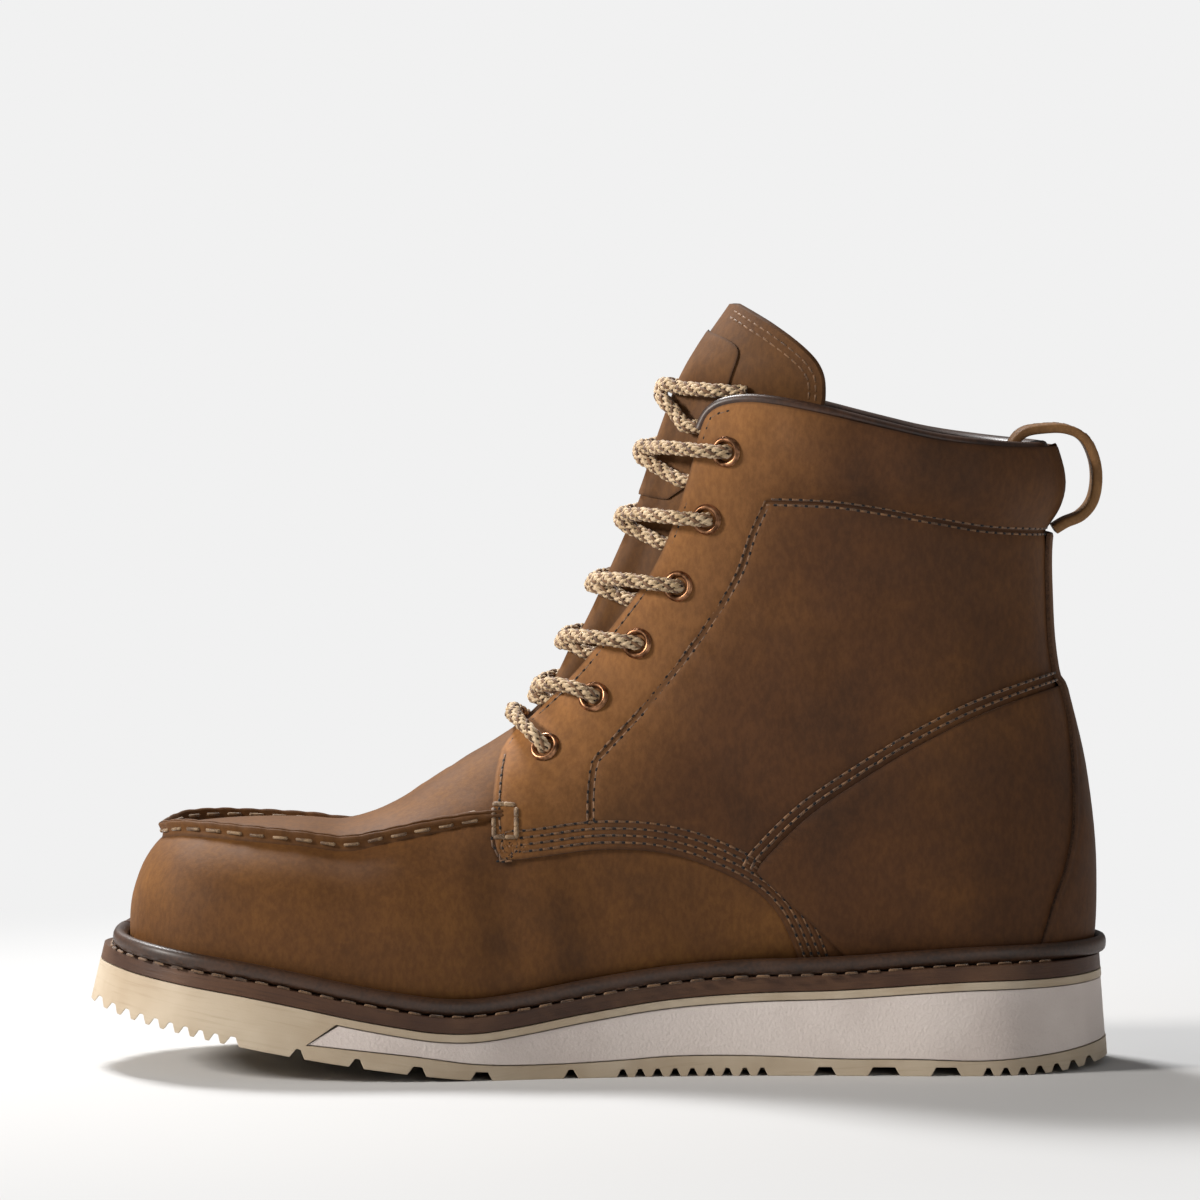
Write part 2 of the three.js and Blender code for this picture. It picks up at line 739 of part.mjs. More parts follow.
// How far the pieces sewn on the upper stand out at its foot
function overlayAt(x) {
  const tail = sidePoints(QUARTER_TAIL)[3].x;
  const stay = sidePoints(BACKSTAY_FRONT)[7].x;
  const counter = smoothstep(tail - 7, tail - 2, x) * (2 * OVERLAY + CLEARANCE);
  return counter + smoothstep(stay - 7, stay - 2, x) * (OVERLAY + CLEARANCE);
}

// The line round the foot of the upper at a height over the seat, on both sides, with its outward normals
function footLine(rise, steps) {
  const side = (t) => {
    let low = 0.5 * Math.PI;
    let high = Math.PI;
    for (let i = 0; i < SEARCH_STEPS; i += 1) {
      const angle = (low + high) / 2;
      const { point } = bareSurface(t, angle);
      if (point.z > seatHeight(point.x) + rise) low = angle;
      else high = angle;
    }
    return low;
  };
  const reaches = (t) => {
    const row = lastRow(t);
    return row.lowZ < seatHeight(row.lowX) + rise;
  };
  const bisect = (inside, outside) => {
    let [a, b] = [inside, outside];
    for (let i = 0; i < SEARCH_STEPS; i += 1) {
      const middle = (a + b) / 2;
      if (reaches(middle)) a = middle;
      else b = middle;
    }
    return a;
  };
  const start = bisect(5, 0.02);
  const end = bisect(16, LAST_END);
  const half = Array.from({ length: steps + 1 }, (_, i) => {
    const t = (start + end) / 2 - ((end - start) / 2) * Math.cos((Math.PI * i) / steps);
    return { t, angle: i === 0 || i === steps ? Math.PI : side(t) };
  });
  return [...half, ...half.slice(1, -1).reverse().map(({ t, angle }) => ({ t, angle: -angle }))];
}

function weltBead() {
  const rise = CLEARANCE + BEAD_HEIGHT / 2;
  const stations = footLine(CLEARANCE + 0.8 * BEAD_HEIGHT, 30).map(({ t, angle }) => {
    const { point } = bareSurface(t, angle);
    const normal = surfaceNormal(t, angle);
    const lean = Math.hypot(normal.x, normal.y);
    return { point, normal: new THREE.Vector3(normal.x, normal.y, 0).divideScalar(lean * lean) };
  });
  const path = new THREE.CatmullRomCurve3(stations.map((s) => s.point), true, 'centripetal');
  const normals = new THREE.CatmullRomCurve3(stations.map((s) => s.normal), true, 'centripetal');
  const lengths = path.getLengths(400);
  const rings = Array.from({ length: BEAD_POINTS }, (_, i) => {
    const share = i / BEAD_POINTS;
    const u = path.getUtoTmapping(share, share * lengths[lengths.length - 1]);
    const centre = path.getPoint(u);
    const lean = normals.getPoint(u).length();
    const normal = normals.getPoint(u).normalize();
    const heel = smoothstep(0.3 * SOLE_LENGTH, 0.47 * SOLE_LENGTH, centre.x);
    const width = BEAD_WIDTH + (BEAD_WIDTH_HEEL - BEAD_WIDTH) * heel;
    const gap = overlayAt(centre.x) * lean + 2 * CLEARANCE + width / 2;
    return Array.from({ length: ROUND_SIDES + 1 }, (__, k) => {
      const angle = (2 * Math.PI * (k + 0.5)) / (ROUND_SIDES + 1);
      const out = gap + (width / 2) * Math.cos(angle);
      const x = centre.x + normal.x * out;
      const up = rise + (BEAD_HEIGHT / 2) * Math.sin(angle);
      return new THREE.Vector3(x, centre.y + normal.y * out, seatHeight(x) + up);
    });
  });
  return toSolid(loft(rings, true));
}

// Upper
function wallAt({ t, u, x, z }) {
  const [seam, top] = [sidePoints(COLLAR)[0].y - 0.2 * SHAFT_HEIGHT, sidePoints(COLLAR)[0].y];
  const rise = smoothstep(seam - 8, seam + 10, z) * (1 - 0.35 * smoothstep(top - 12, top + 4, z));
  const back = smoothstep(0.34, 0.56, u);
  return WALL + (t > 20 && x > 0 ? COLLAR_PADDING * rise * back : 0);
}

const RIM = [...sideLine(FACING, 15), ...sideLine(COLLAR, 8)];

// Everything above the rim, from where it passes an x
function aboveRim(from) {
  const rim = RIM.filter((point) => point.x > from);
  const start = RIM[RIM.length - rim.length - 1] ?? RIM[0];
  const share = clamp((from - start.x) / (rim[0].x - start.x), 0, 1);
  return acrossPrism([
    start.clone().lerp(rim[0], share),
    ...rim,
    corner(FAR, RIM[RIM.length - 1].y),
    corner(FAR, HIGH),
    corner(start.x + (rim[0].x - start.x) * share, HIGH),
  ]);
}

function quarterPrism() {
  const front = sideLine(QUARTER_FRONT, 12);
  return acrossPrism([
    ...front,
    ...sideLine(QUARTER_TAIL, 6).slice(1),
    corner(lastX(0.215), -HEEL_HEIGHT),
    corner(FAR, -HEEL_HEIGHT),
    corner(FAR, HIGH),
    corner(front[0].x, HIGH),
  ]);
}

function eyeletPlaces() {
  const facing = new THREE.SplineCurve(sidePoints(FACING));
  const lengths = facing.getLengths(300);
  const total = lengths[lengths.length - 1];
  return Array.from({ length: EYELET_COUNT }, (_, i) => {
    const share = (EYELET_START + i * EYELET_PITCH) / total;
    const edge = facing.getPointAt(share);
    const along = facing.getTangentAt(share);
    return { edge, along, x: edge.x + along.y * EYELET_INSET, z: edge.y - along.x * EYELET_INSET };
  });
}

function eyeletFrame(place, side) {
  const { t, angle } = locate(place.x, place.z);
  const normal = surfaceNormal(t, angle * side);
  return { point: bareSurface(t, angle * side).point, normal };
}

function eyeletHoles() {
  const holes = [];
  for (const side of [-1, 1]) {
    for (const place of eyeletPlaces()) {
      const { point, normal } = eyeletFrame(place, side);
      const radius = EYELET_HOLE + EYELET_BARREL + CLEARANCE;
      const geometry = new THREE.CylinderGeometry(radius, radius, 4 * WALL, EYELET_SIDES);
      geometry.applyQuaternion(new THREE.Quaternion().setFromUnitVectors(new THREE.Vector3(0, 1, 0), normal));
      geometry.translate(...point.toArray());
      holes.push(toSolid(geometry));
    }
  }
  return holes;
}

// The raised seam of the moccasin toe: a thin wall that follows the seam and leans out a little
function mocRidge() {
  const [tip, ...side] = MOC_SEAM.map((row) => planPlace(lastX(row.x), row.half * BALL_WIDTH));
  const places = [
    ...side.slice().reverse().map(({ t, angle }) => ({ t, angle: -angle })),
    tip,
    ...side,
  ];
  const bases = places.map(({ t, angle }) => bareSurface(t, angle).point);
  const path = new THREE.CatmullRomCurve3(bases, false, 'centripetal');
  const count = 28;
  const rings = Array.from({ length: count + 1 }, (_, i) => {
    const centre = path.getPointAt(i / count);
    const along = path.getTangentAt(i / count);
    const out = new THREE.Vector3(along.y, -along.x, 0).normalize();
    if (out.dot(new THREE.Vector3(centre.x - lastX(-0.3), centre.y, 0)) < 0) out.negate();
    const up = new THREE.Vector3(0, 0, 1).addScaledVector(out, 0.45).normalize();
    const across = out.clone().addScaledVector(up, -out.dot(up)).normalize();
    const end = Math.min(1, 6 * Math.min(i, count - i) / count + 0.5);
    return [[-0.5, -1], [0.5, -1], [0.5, 1], [-0.5, 1]].map(([side, top]) => {
      const height = top > 0 ? RIDGE_HEIGHT * end : -RIDGE_ROOT;
      return centre.clone().addScaledVector(across, side * RIDGE_THICKNESS).addScaledVector(up, height);
    });
  });
  return toSolid(loft(rings));
}

function upper() {
  const vamp = form(() => 0).add(mocRidge()).subtract(aboveRim(VAMP_END));
  const quarters = form(() => OVERLAY).intersect(quarterPrism()).subtract(aboveRim(RIM[0].x));
  let solid = vamp.add(quarters).subtract(form((place) => -wallAt(place)));
  solid = solid.subtract(underSeat(CLEARANCE));
  for (const hole of eyeletHoles()) solid = solid.subtract(hole);
  return solid;
}

function insole() {
  const inside = form(() => -WALL - CLEARANCE - 0.1);
  return inside.intersect(underSeat(CLEARANCE + INSOLE_THICKNESS)).subtract(underSeat(CLEARANCE));
}

function heelCounter() {
  const inner = OVERLAY + CLEARANCE;
  const tail = sideLine(QUARTER_TAIL, 6);
  const prism = acrossPrism([
    ...tail.slice().reverse(),
    ...sideLine(COUNTER_TOP, 9),
    corner(FAR, seatHeight(0) + 2 * TOE_HEIGHT),
    corner(FAR, -HEEL_HEIGHT),
    corner(tail[tail.length - 1].x, -HEEL_HEIGHT),
  ]);
  const shell = form(() => inner + OVERLAY).subtract(form(() => inner));
  return shell.intersect(prism).subtract(underSeat(CLEARANCE));
}

function backstay() {
  const line = sidePoints(COUNTER_TOP);
  const top = line[line.length - 1].y;
  const inner = ({ z }) => {
    const above = smoothstep(top + 1, top + 8, z);
    return OVERLAY + CLEARANCE + (1 - above) * (OVERLAY + CLEARANCE);
  };
  const front = sideLine(BACKSTAY_FRONT, 12);
  const prism = acrossPrism([
    ...front,
    corner(front[front.length - 1].x, -HEEL_HEIGHT),
    corner(FAR, -HEEL_HEIGHT),
    corner(FAR, front[0].y),
  ]);
  const shell = form((place) => inner(place) + OVERLAY).subtract(form(inner));
  return shell.intersect(prism).subtract(underSeat(CLEARANCE));
}

// The tongue stands up in a ridge under the laces and lies deeper at its sides, clear of the facings
function tongueFace({ half, z }) {
  const top = sidePoints(COLLAR)[0].y;
  const recess = smoothstep(TONGUE_RIDGE, 2 * TONGUE_RIDGE, half) * (1 - smoothstep(top, top + 14, z));
  return -WALL - CLEARANCE - TONGUE_RECESS * recess;
}

function tongue() {
  const edge = sideLine(TONGUE_EDGE, 16);
  const foot = edge[edge.length - 1];
  const prism = acrossPrism([
    ...edge,
    corner(foot.x - WALL, foot.y + 2 * WALL),
    corner(foot.x - SHAFT_HEIGHT / 4, edge[0].y - SHAFT_HEIGHT / 2),
    corner(edge[0].x - SHAFT_HEIGHT / 4, edge[0].y + WALL),
  ]);
  const shell = form(tongueFace).subtract(form((place) => tongueFace(place) - TONGUE_THICKNESS));
  return shell.intersect(prism);
}

function tongueLabel() {
  const inner = (place) => tongueFace(place) + CLEARANCE;
  const edge = sideLine(LABEL_EDGE, 8);
  const prism = acrossPrism([
    ...edge,
    corner(edge[edge.length - 1].x - SHAFT_HEIGHT / 8, edge[edge.length - 1].y),
    corner(edge[0].x - SHAFT_HEIGHT / 8, edge[0].y),
  ]);
  const shell = form((place) => inner(place) + LABEL_THICKNESS).subtract(form(inner));
  return shell.intersect(prism);
}

// A rolled binding on the rim, from the top of one facing round the collar to the other
function collarBinding() {
  const rise = CLEARANCE + BINDING_HEIGHT / 2;
  const outer = RIM.map((point, i) => {
    const before = RIM[Math.max(0, i - 1)];
    const after = RIM[Math.min(RIM.length - 1, i + 1)];
    const along = after.clone().sub(before).normalize();
    return corner(point.x - along.y * rise, point.y + along.x * rise);
  });
  const start = outer.findIndex((point) => point.y > outer[outer.length - 1].y - 0.06 * SHAFT_HEIGHT);
  const rimHeight = (x) => {
    const i = clamp(outer.findIndex((point, k) => k > 0 && point.x >= x && point.y > outer[0].y), 1, outer.length - 1);
    const [a, b] = [outer[i - 1], outer[i]];
    return a.y + ((b.y - a.y) * (x - a.x)) / (b.x - a.x);
  };
  const middle = lastX(0.17);
  const front = outer.slice(start).filter((point) => point.x < middle).map((point) => locate(point.x, point.y));
  const startAngle = locate(middle, rimHeight(middle)).angle;
  const steps = 13;
  const collar = Array.from({ length: steps + 1 }, (_, i) => {
    const angle = startAngle + ((Math.PI - startAngle) * i) / steps;
    let [low, high] = [18, LAST_END];
    for (let k = 0; k < SEARCH_STEPS; k += 1) {
      const t = (low + high) / 2;
      const { point } = bareSurface(t, angle);
      if (point.z < rimHeight(point.x)) low = t;
      else high = t;
    }
    return { t: low, angle };
  });
  const half = [...front, ...collar];
  const stations = [
    ...half.map(({ t, angle }) => ({ t, angle: -angle })),
    ...half.slice(0, -1).reverse(),
  ];
  const seated = (point) => {
    let best = { distance: Infinity };
    for (let k = 1; k < RIM.length; k += 1) {
      const run = RIM[k].clone().sub(RIM[k - 1]);
      const s = clamp(((point.x - RIM[k - 1].x) * run.x + (point.z - RIM[k - 1].y) * run.y) / run.lengthSq(), 0, 1);
      const foot = RIM[k - 1].clone().addScaledVector(run, s);
      const distance = Math.hypot(foot.x - point.x, foot.y - point.z);
      if (distance < best.distance) best = { distance, foot, run: run.normalize() };
    }
    const away = best.distance > 0.5 * rise
      ? corner(point.x - best.foot.x, point.z - best.foot.y).normalize()
      : corner(-best.run.y, best.run.x);
    point.setX(best.foot.x + away.x * rise);
    point.setZ(best.foot.y + away.y * rise);
    return point;
  };
  const rings = stations.map(({ t, angle }, i) => {
    const place = bareSurface(t, angle);
    const wall = wallAt({ t, u: place.u, x: place.point.x, z: place.point.z });
    const centre = seated(surface(t, angle, (OVERLAY - wall) / 2));
    const normal = surfaceNormal(t, angle);
    const before = stations[Math.max(0, i - 1)];
    const after = stations[Math.min(stations.length - 1, i + 1)];
    const along = bareSurface(after.t, after.angle).point.sub(bareSurface(before.t, before.angle).point).normalize();
    const up = along.clone().cross(normal).normalize();
    const wide = Math.min(BINDING_WIDTH, wall + OVERLAY) / 2;
    return Array.from({ length: ROUND_SIDES }, (_, k) => {
      const turn = (2 * Math.PI * (k + 0.5)) / ROUND_SIDES;
      return centre.clone().addScaledVector(normal, wide * Math.cos(turn))
        .addScaledVector(up, (BINDING_HEIGHT / 2) * Math.sin(turn));
    });
  });
  return toSolid(loft(rings));
}

function pullLoop() {
  const foot = sidePoints(BACKSTAY_FRONT)[0].y + CLEARANCE;
  const points = PULL_LOOP.map((row) => new THREE.Vector3(lastX(row.x), 0, foot + row.z * LOOP_RISE));
  const path = new THREE.CatmullRomCurve3(points, false, 'centripetal');
  const count = 18;
  const rings = Array.from({ length: count + 1 }, (_, i) => {
    const centre = path.getPointAt(i / count);
    const along = path.getTangentAt(i / count);
    const out = new THREE.Vector3(-along.z, 0, along.x);
    return [[-0.5, -0.5], [0.5, -0.5], [0.5, 0.5], [-0.5, 0.5]].map(([across, thick]) => (
      centre.clone().addScaledVector(out, thick * LOOP_THICKNESS)
        .add(new THREE.Vector3(0, across * LOOP_WIDTH, 0))
    ));
  });
  return toSolid(loft(rings));
}

function eyeletGeometry(place, side) {
  const seat = OVERLAY + CLEARANCE;
  const shaft = EYELET_HOLE + EYELET_BARREL;
  const points = [
    [EYELET_HOLE, -WALL],
    [shaft, -WALL + EYELET_DISH],
    [shaft, seat],
    [EYELET_RADIUS, seat + EYELET_DISH],
    [(EYELET_RADIUS + EYELET_HOLE) / 2, seat + EYELET_HEIGHT],
  ];
  const { point, normal } = eyeletFrame(place, side);
  const rings = Array.from({ length: EYELET_SIDES }, (_, i) => {
    const turns = EYELET_TWIST.map((twist) => (2 * Math.PI * (i + twist)) / EYELET_SIDES);
    return points.map(([radius, height], k) => (
      new THREE.Vector3(radius * Math.cos(turns[k]), height, radius * Math.sin(turns[k]))
    ));
  });
  const geometry = loft(rings, true);
  geometry.applyQuaternion(new THREE.Quaternion().setFromUnitVectors(new THREE.Vector3(0, 1, 0), normal));
  geometry.translate(...point.toArray());
  return toGeometry(toSolid(geometry));
}

// Laces. A place on the boot is a section and an angle of the last, and the lace's middle rides over it.
const LACE_RADIUS = LACE_DIAMETER / 2;
const LACE_RIDGE_LIFT = 2.5 * CLEARANCE + LACE_RADIUS;

function facingPlace(share, forward) {
  const facing = new THREE.SplineCurve(sidePoints(FACING));
  const total = facing.getLength();
  const at = clamp(share / total, 0, 1);
  const edge = facing.getPointAt(at);
  const along = facing.getTangentAt(at);
  return locate(edge.x - along.y * forward, edge.y + along.x * forward);
}

function ridgePlace(height) {
  let [low, high] = [12, LAST_END];
  for (let i = 0; i < SEARCH_STEPS; i += 1) {
    const t = (low + high) / 2;
    if (lastRow(t).topZ < height) low = t;
    else high = t;
  }
  return low;
}

// One strand: from a place on one side, over the tongue's ridge, to a place on the other side
function laceStrand(from, ridge, to, side) {
  const steps = 6;
  const spots = [];
  const add = (place, sign, i) => {
    const s = i / steps;
    const t = place.t + (ridge.t - place.t) * s;
    const angle = place.angle * (1 - s) * sign;
    const spot = bareSurface(t, angle);
    const floor = tongueFace({ half: spot.half, z: spot.point.z }) + LACE_RIDGE_LIFT + ridge.lift;
    const eased = place.offset + (floor - place.offset) * smoothstep(place.hold, 1, s);
    spots.push(surface(t, angle, Math.max(floor, eased)));
  };
  for (let i = 0; i < steps; i += 1) add(from, side, i);
  for (let i = steps; i >= 0; i -= 1) add(to, -side, i);
  const path = new THREE.CatmullRomCurve3(spots, false, 'centripetal');
  const tube = new THREE.Shape(Array.from({ length: ROUND_SIDES }, (_, k) => new THREE.Vector2(
    LACE_RADIUS * Math.cos((2 * Math.PI * k) / ROUND_SIDES),
    LACE_RADIUS * Math.sin((2 * Math.PI * k) / ROUND_SIDES),
  )));
  return toSolid(new THREE.ExtrudeGeometry(tube, { steps: 7, extrudePath: path, bevelEnabled: false }));
}

function laceAtEyelet(place) {
  const offset = OVERLAY + 2 * CLEARANCE + EYELET_HEIGHT + LACE_RADIUS;
  return { ...locate(place.x, place.z), offset, hold: 0.25 };
}

function laceUnderEdge(distance, edge) {
  const forward = edge + LACE_RADIUS + 2 * CLEARANCE;
  return { ...facingPlace(distance, forward), offset: -WALL - 2 * CLEARANCE, hold: 0 };
}

function laceSolid(from, ridge, to) {
  return laceStrand(from, ridge, to, -1).add(laceStrand(from, ridge, to, 1));
}

function laces() {
  const places = eyeletPlaces();
  const lift = (height) => (height > sidePoints(LABEL_EDGE)[5].y - LACE_DIAMETER
    ? 3 * CLEARANCE + LABEL_THICKNESS : 0);
  const ridgeAt = (height) => ({ t: ridgePlace(height), lift: lift(height) });
  const barRidge = { t: ridgePlace(places[0].z + 0.35 * EYELET_PITCH), lift: OVERLAY };
  const barEnd = { ...laceAtEyelet(places[0]), hold: 0.6 };
  const bar = laceStrand(barEnd, barRidge, barEnd, -1);
  const list = [['lace_bar', bar]];
  for (let i = 1; i < EYELET_COUNT; i += 1) {
    const under = laceUnderEdge(EYELET_START + (i - 0.6) * EYELET_PITCH, 0);
    list.push([`lace_cross_${i}`, laceSolid(under, ridgeAt(places[i].z - 1), laceAtEyelet(places[i]))]);
  }
  const top = EYELET_START + (EYELET_COUNT - 1) * EYELET_PITCH;
  const ridge = ridgeAt(places[EYELET_COUNT - 1].z + 0.9 * EYELET_PITCH);
  const bound = CLEARANCE + BINDING_HEIGHT;
  const under = laceUnderEdge(top + 0.2 * EYELET_PITCH, bound);
  const crossing = laceSolid(under, ridge, laceUnderEdge(top + 0.6 * EYELET_PITCH, bound));
  list.push([`lace_cross_${EYELET_COUNT}`, crossing]);
  return list;
}

// Materials
const MATERIALS = {
  leather: new THREE.MeshStandardMaterial({ color: 0x8a5a30, roughness: 0.75, metalness: 0 }),
  overlay: new THREE.MeshStandardMaterial({ color: 0x7a4d28, roughness: 0.75, metalness: 0 }),
  binding: new THREE.MeshStandardMaterial({ color: 0x4a2e1c, roughness: 0.35, metalness: 0 }),
  welt: new THREE.MeshStandardMaterial({ color: 0x3a2417, roughness: 0.4, metalness: 0 }),
  midsole: new THREE.MeshStandardMaterial({ color: 0x6b4529, roughness: 0.6, metalness: 0 }),
  outsole: new THREE.MeshStandardMaterial({ color: 0xc9b48e, roughness: 0.65, metalness: 0 }),
  wedge: new THREE.MeshStandardMaterial({ color: 0xd9cfc6, roughness: 0.8, metalness: 0 }),
  lining: new THREE.MeshStandardMaterial({ color: 0x5a4330, roughness: 0.9, metalness: 0 }),
  metal: new THREE.MeshStandardMaterial({ color: 0x8a6248, roughness: 0.35, metalness: 0.9 }),
  lace: new THREE.MeshStandardMaterial({ color: 0xb89468, roughness: 0.85, metalness: 0 }),
};

const group = new THREE.Group();

function add(name, geometry, material) {
  const mesh = new THREE.Mesh(geometry, MATERIALS[material]);
  mesh.name = name;
  group.add(mesh);
}

add('outsole', toGeometry(outsole()), 'outsole');
add('wedge', toGeometry(wedge()), 'wedge');
add('midsole', toGeometry(midsole()), 'midsole');
add('welt_bead', toGeometry(weltBead()), 'welt');
add('insole', toGeometry(insole()), 'lining');
add('upper', toGeometry(upper()), 'leather');
add('heel_counter', toGeometry(heelCounter()), 'overlay');
add('backstay', toGeometry(backstay()), 'overlay');
add('tongue', toGeometry(tongue()), 'leather');
add('tongue_label', toGeometry(tongueLabel()), 'overlay');
add('collar_binding', toGeometry(collarBinding()), 'binding');
add('pull_loop', toGeometry(pullLoop()), 'leather');
eyeletPlaces().forEach((place, i) => {
  add(`eyelet_near_${i + 1}`, eyeletGeometry(place, -1), 'metal');
  add(`eyelet_far_${i + 1}`, eyeletGeometry(place, 1), 'metal');
});
for (const [name, solid] of laces()) add(name, toGeometry(solid), 'lace');

export default group;
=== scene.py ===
"""Visual model of a wedge sole work boot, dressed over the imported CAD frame.

Lengths inside the classes are millimetres in the row's frame: the toe points along -X, the medial side
along -Y and the boot stands on Z = 0. Meshes are written in metres.
"""

import json
import logging
import math
import random
from dataclasses import dataclass, field
from enum import Enum
from typing import Callable, Sequence

import bmesh
import bpy
import numpy as np
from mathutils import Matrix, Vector, kdtree
from mathutils.geometry import delaunay_2d_cdt

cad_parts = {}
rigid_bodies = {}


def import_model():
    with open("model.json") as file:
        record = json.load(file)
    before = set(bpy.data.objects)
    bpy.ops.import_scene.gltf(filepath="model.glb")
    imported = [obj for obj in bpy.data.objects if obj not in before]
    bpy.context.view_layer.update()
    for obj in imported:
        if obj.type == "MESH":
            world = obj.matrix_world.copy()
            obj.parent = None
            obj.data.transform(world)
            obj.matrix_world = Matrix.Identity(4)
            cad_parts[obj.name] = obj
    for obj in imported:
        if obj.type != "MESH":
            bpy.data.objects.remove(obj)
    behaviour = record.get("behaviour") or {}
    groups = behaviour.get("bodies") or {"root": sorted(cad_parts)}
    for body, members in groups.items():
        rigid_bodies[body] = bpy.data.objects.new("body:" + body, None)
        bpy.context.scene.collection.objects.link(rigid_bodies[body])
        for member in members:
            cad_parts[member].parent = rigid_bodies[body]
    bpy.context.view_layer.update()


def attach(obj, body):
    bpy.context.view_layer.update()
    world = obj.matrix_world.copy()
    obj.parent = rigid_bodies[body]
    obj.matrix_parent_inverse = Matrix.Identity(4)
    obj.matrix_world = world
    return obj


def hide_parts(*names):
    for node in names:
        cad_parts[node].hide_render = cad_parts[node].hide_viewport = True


LOG = logging.getLogger("boot")
MM = 0.001
BODY = "root"
HALVINGS = 26
EDGE_RADIUS = 0.0005
CUT_REACH = 60.0
ROLLED_EDGE = 0.9
CLEAR_OF_LINES = 1.15
TOE_START = 0.05

Line = np.ndarray
LiftRule = Callable[[np.ndarray], np.ndarray]
Row = tuple[np.ndarray, np.ndarray, np.ndarray]


class Side(Enum):
    """The two sides of the boot: the near one is medial and faces the camera."""

    NEAR = -1.0
    FAR = 1.0


class Slot(Enum):
    """Material slots of the record, given along with each piece that is handed over."""

    LEATHER = "leather"
    OVERLAY = "overlay"
    BINDING = "binding"
    WELT = "welt"
    MIDSOLE = "midsole"
    OUTSOLE = "outsole"
    WEDGE = "wedge"
    LINING = "lining"
    METAL = "metal"
    LACE = "lace"


# Sections of the last: the columns are topX, topToe, topShaft, lowX, lowToe, lowShaft, width, widest,
# topPower, lowPower and pinch, as shares of the last's named sizes.
LAST_TABLE = (
    (-0.5, 0.17, 0, -0.5, 0.17, 0, 0, 0.5, 2.2, 2.2, 0),
    (-0.4985, 0.335, 0, -0.4985, 0.02, 0, 0.225, 0.5, 2.2, 2.4, 0),
    (-0.4935, 0.47, 0, -0.4935, -0.1, 0, 0.385, 0.52, 2.2, 2.8, 0),
    (-0.4835, 0.635, 0, -0.4835, -0.165, 0, 0.53, 0.55, 2.3, 3.2, 0),
    (-0.467, 0.79, 0, -0.467, -0.2, 0, 0.665, 0.58, 2.4, 3.5, 0),
    (-0.4425, 0.905, 0, -0.4425, -0.205, 0, 0.785, 0.6, 2.5, 3.6, 0),
    (-0.4095, 0.97, 0, -0.4095, -0.195, 0, 0.87, 0.62, 2.6, 3.6, 0),
    (-0.3675, 1.025, 0, -0.3675, -0.195, 0, 0.925, 0.63, 2.65, 3.6, 0),
    (-0.319, 1.085, 0, -0.319, -0.195, 0, 0.965, 0.63, 2.6, 3.6, 0),
    (-0.27, 1.15, 0, -0.27, -0.195, 0, 0.99, 0.64, 2.45, 3.6, 0),
    (-0.225, 1.325, 0, -0.225, -0.2, 0, 1, 0.66, 2.25, 3.6, 0.02),
    (-0.183, 1, 0.152, -0.183, -0.2, 0, 0.99, 0.69, 2.1, 3.5, 0.06),
    (-0.143, 1, 0.203, -0.143, -0.195, 0, 0.96, 0.71, 2.05, 3.5, 0.1),
    (-0.108, 1, 0.238, -0.068, -0.195, 0, 0.915, 0.72, 2.1, 3.4, 0.12),
    (-0.092, 1, 0.255, 0.0225, -0.2, 0, 0.86, 0.72, 2.15, 3.2, 0.13),
    (-0.0775, 1, 0.29, 0.127, -0.195, 0, 0.805, 0.7, 2.2, 3, 0.13),
    (-0.065, 1, 0.329, 0.2455, -0.19, 0, 0.76, 0.67, 2.25, 2.8, 0.12),
    (-0.0535, 1, 0.369, 0.371, -0.245, 0, 0.735, 0.64, 2.25, 2.55, 0.12),
    (-0.045, 1, 0.399, 0.4685, -0.285, 0, 0.72, 0.61, 2.25, 2.35, 0.12),
    (-0.033, 1, 0.431, 0.5, 0, 0.004, 0.71, 0.59, 2.25, 2.2, 0.12),
    (-0.02, 1, 0.475, 0.505, 0, 0.16, 0.695, 0.58, 2.25, 2.15, 0.12),
    (-0.0065, 1, 0.528, 0.4945, 0, 0.355, 0.665, 0.57, 2.25, 2.15, 0.12),
    (0.0075, 1, 0.582, 0.47, 0, 0.551, 0.655, 0.56, 2.25, 2.2, 0.12),
    (0.0225, 1, 0.644, 0.462, 0, 0.707, 0.685, 0.55, 2.25, 2.2, 0.1),
    (0.0345, 1, 0.701, 0.463, 0, 0.83, 0.715, 0.54, 2.25, 2.2, 0.08),
    (0.052, 1, 0.797, 0.4765, 0, 0.92, 0.785, 0.53, 2.2, 2.2, 0.06),
    (0.0715, 1, 0.888, 0.466, 0, 1.005, 0.765, 0.52, 2.2, 2.2, 0.04),
    (0.0925, 1, 0.954, 0.451, 0, 1.09, 0.735, 0.52, 2.2, 2.2, 0.02),
    (0.12, 1, 1.025, 0.434, 0, 1.175, 0.715, 0.52, 2.2, 2.2, 0),
    (0.148, 1, 1.096, 0.4165, 0, 1.26, 0.705, 0.52, 2.2, 2.2, 0),
)

# Lines on the side of the upper: x from the last's middle, and height over the seat as a share of the
# toe's height plus a share of the shaft's.
FACING = (
    (-0.108, 1, 0.21), (-0.097, 1, 0.234), (-0.069, 1, 0.276), (-0.022, 1, 0.355), (0.017, 1, 0.437),
    (0.045, 1, 0.502), (0.066, 1, 0.574), (0.089, 1, 0.697), (0.1, 1, 0.778), (0.11, 1, 0.817),
    (0.132, 1, 0.832),
)
COLLAR = (
    (0.166, 1, 0.83), (0.221, 1, 0.809), (0.287, 1, 0.773), (0.341, 1, 0.743), (0.394, 1, 0.725),
    (0.457, 1, 0.715), (0.56, 1, 0.71),
)
COLLAR_SEAM = (
    (0.169, 1, 0.64), (0.236, 1, 0.632), (0.289, 1, 0.612), (0.342, 1, 0.587), (0.394, 1, 0.565),
    (0.465, 1, 0.551), (0.5, 1, 0.545),
)
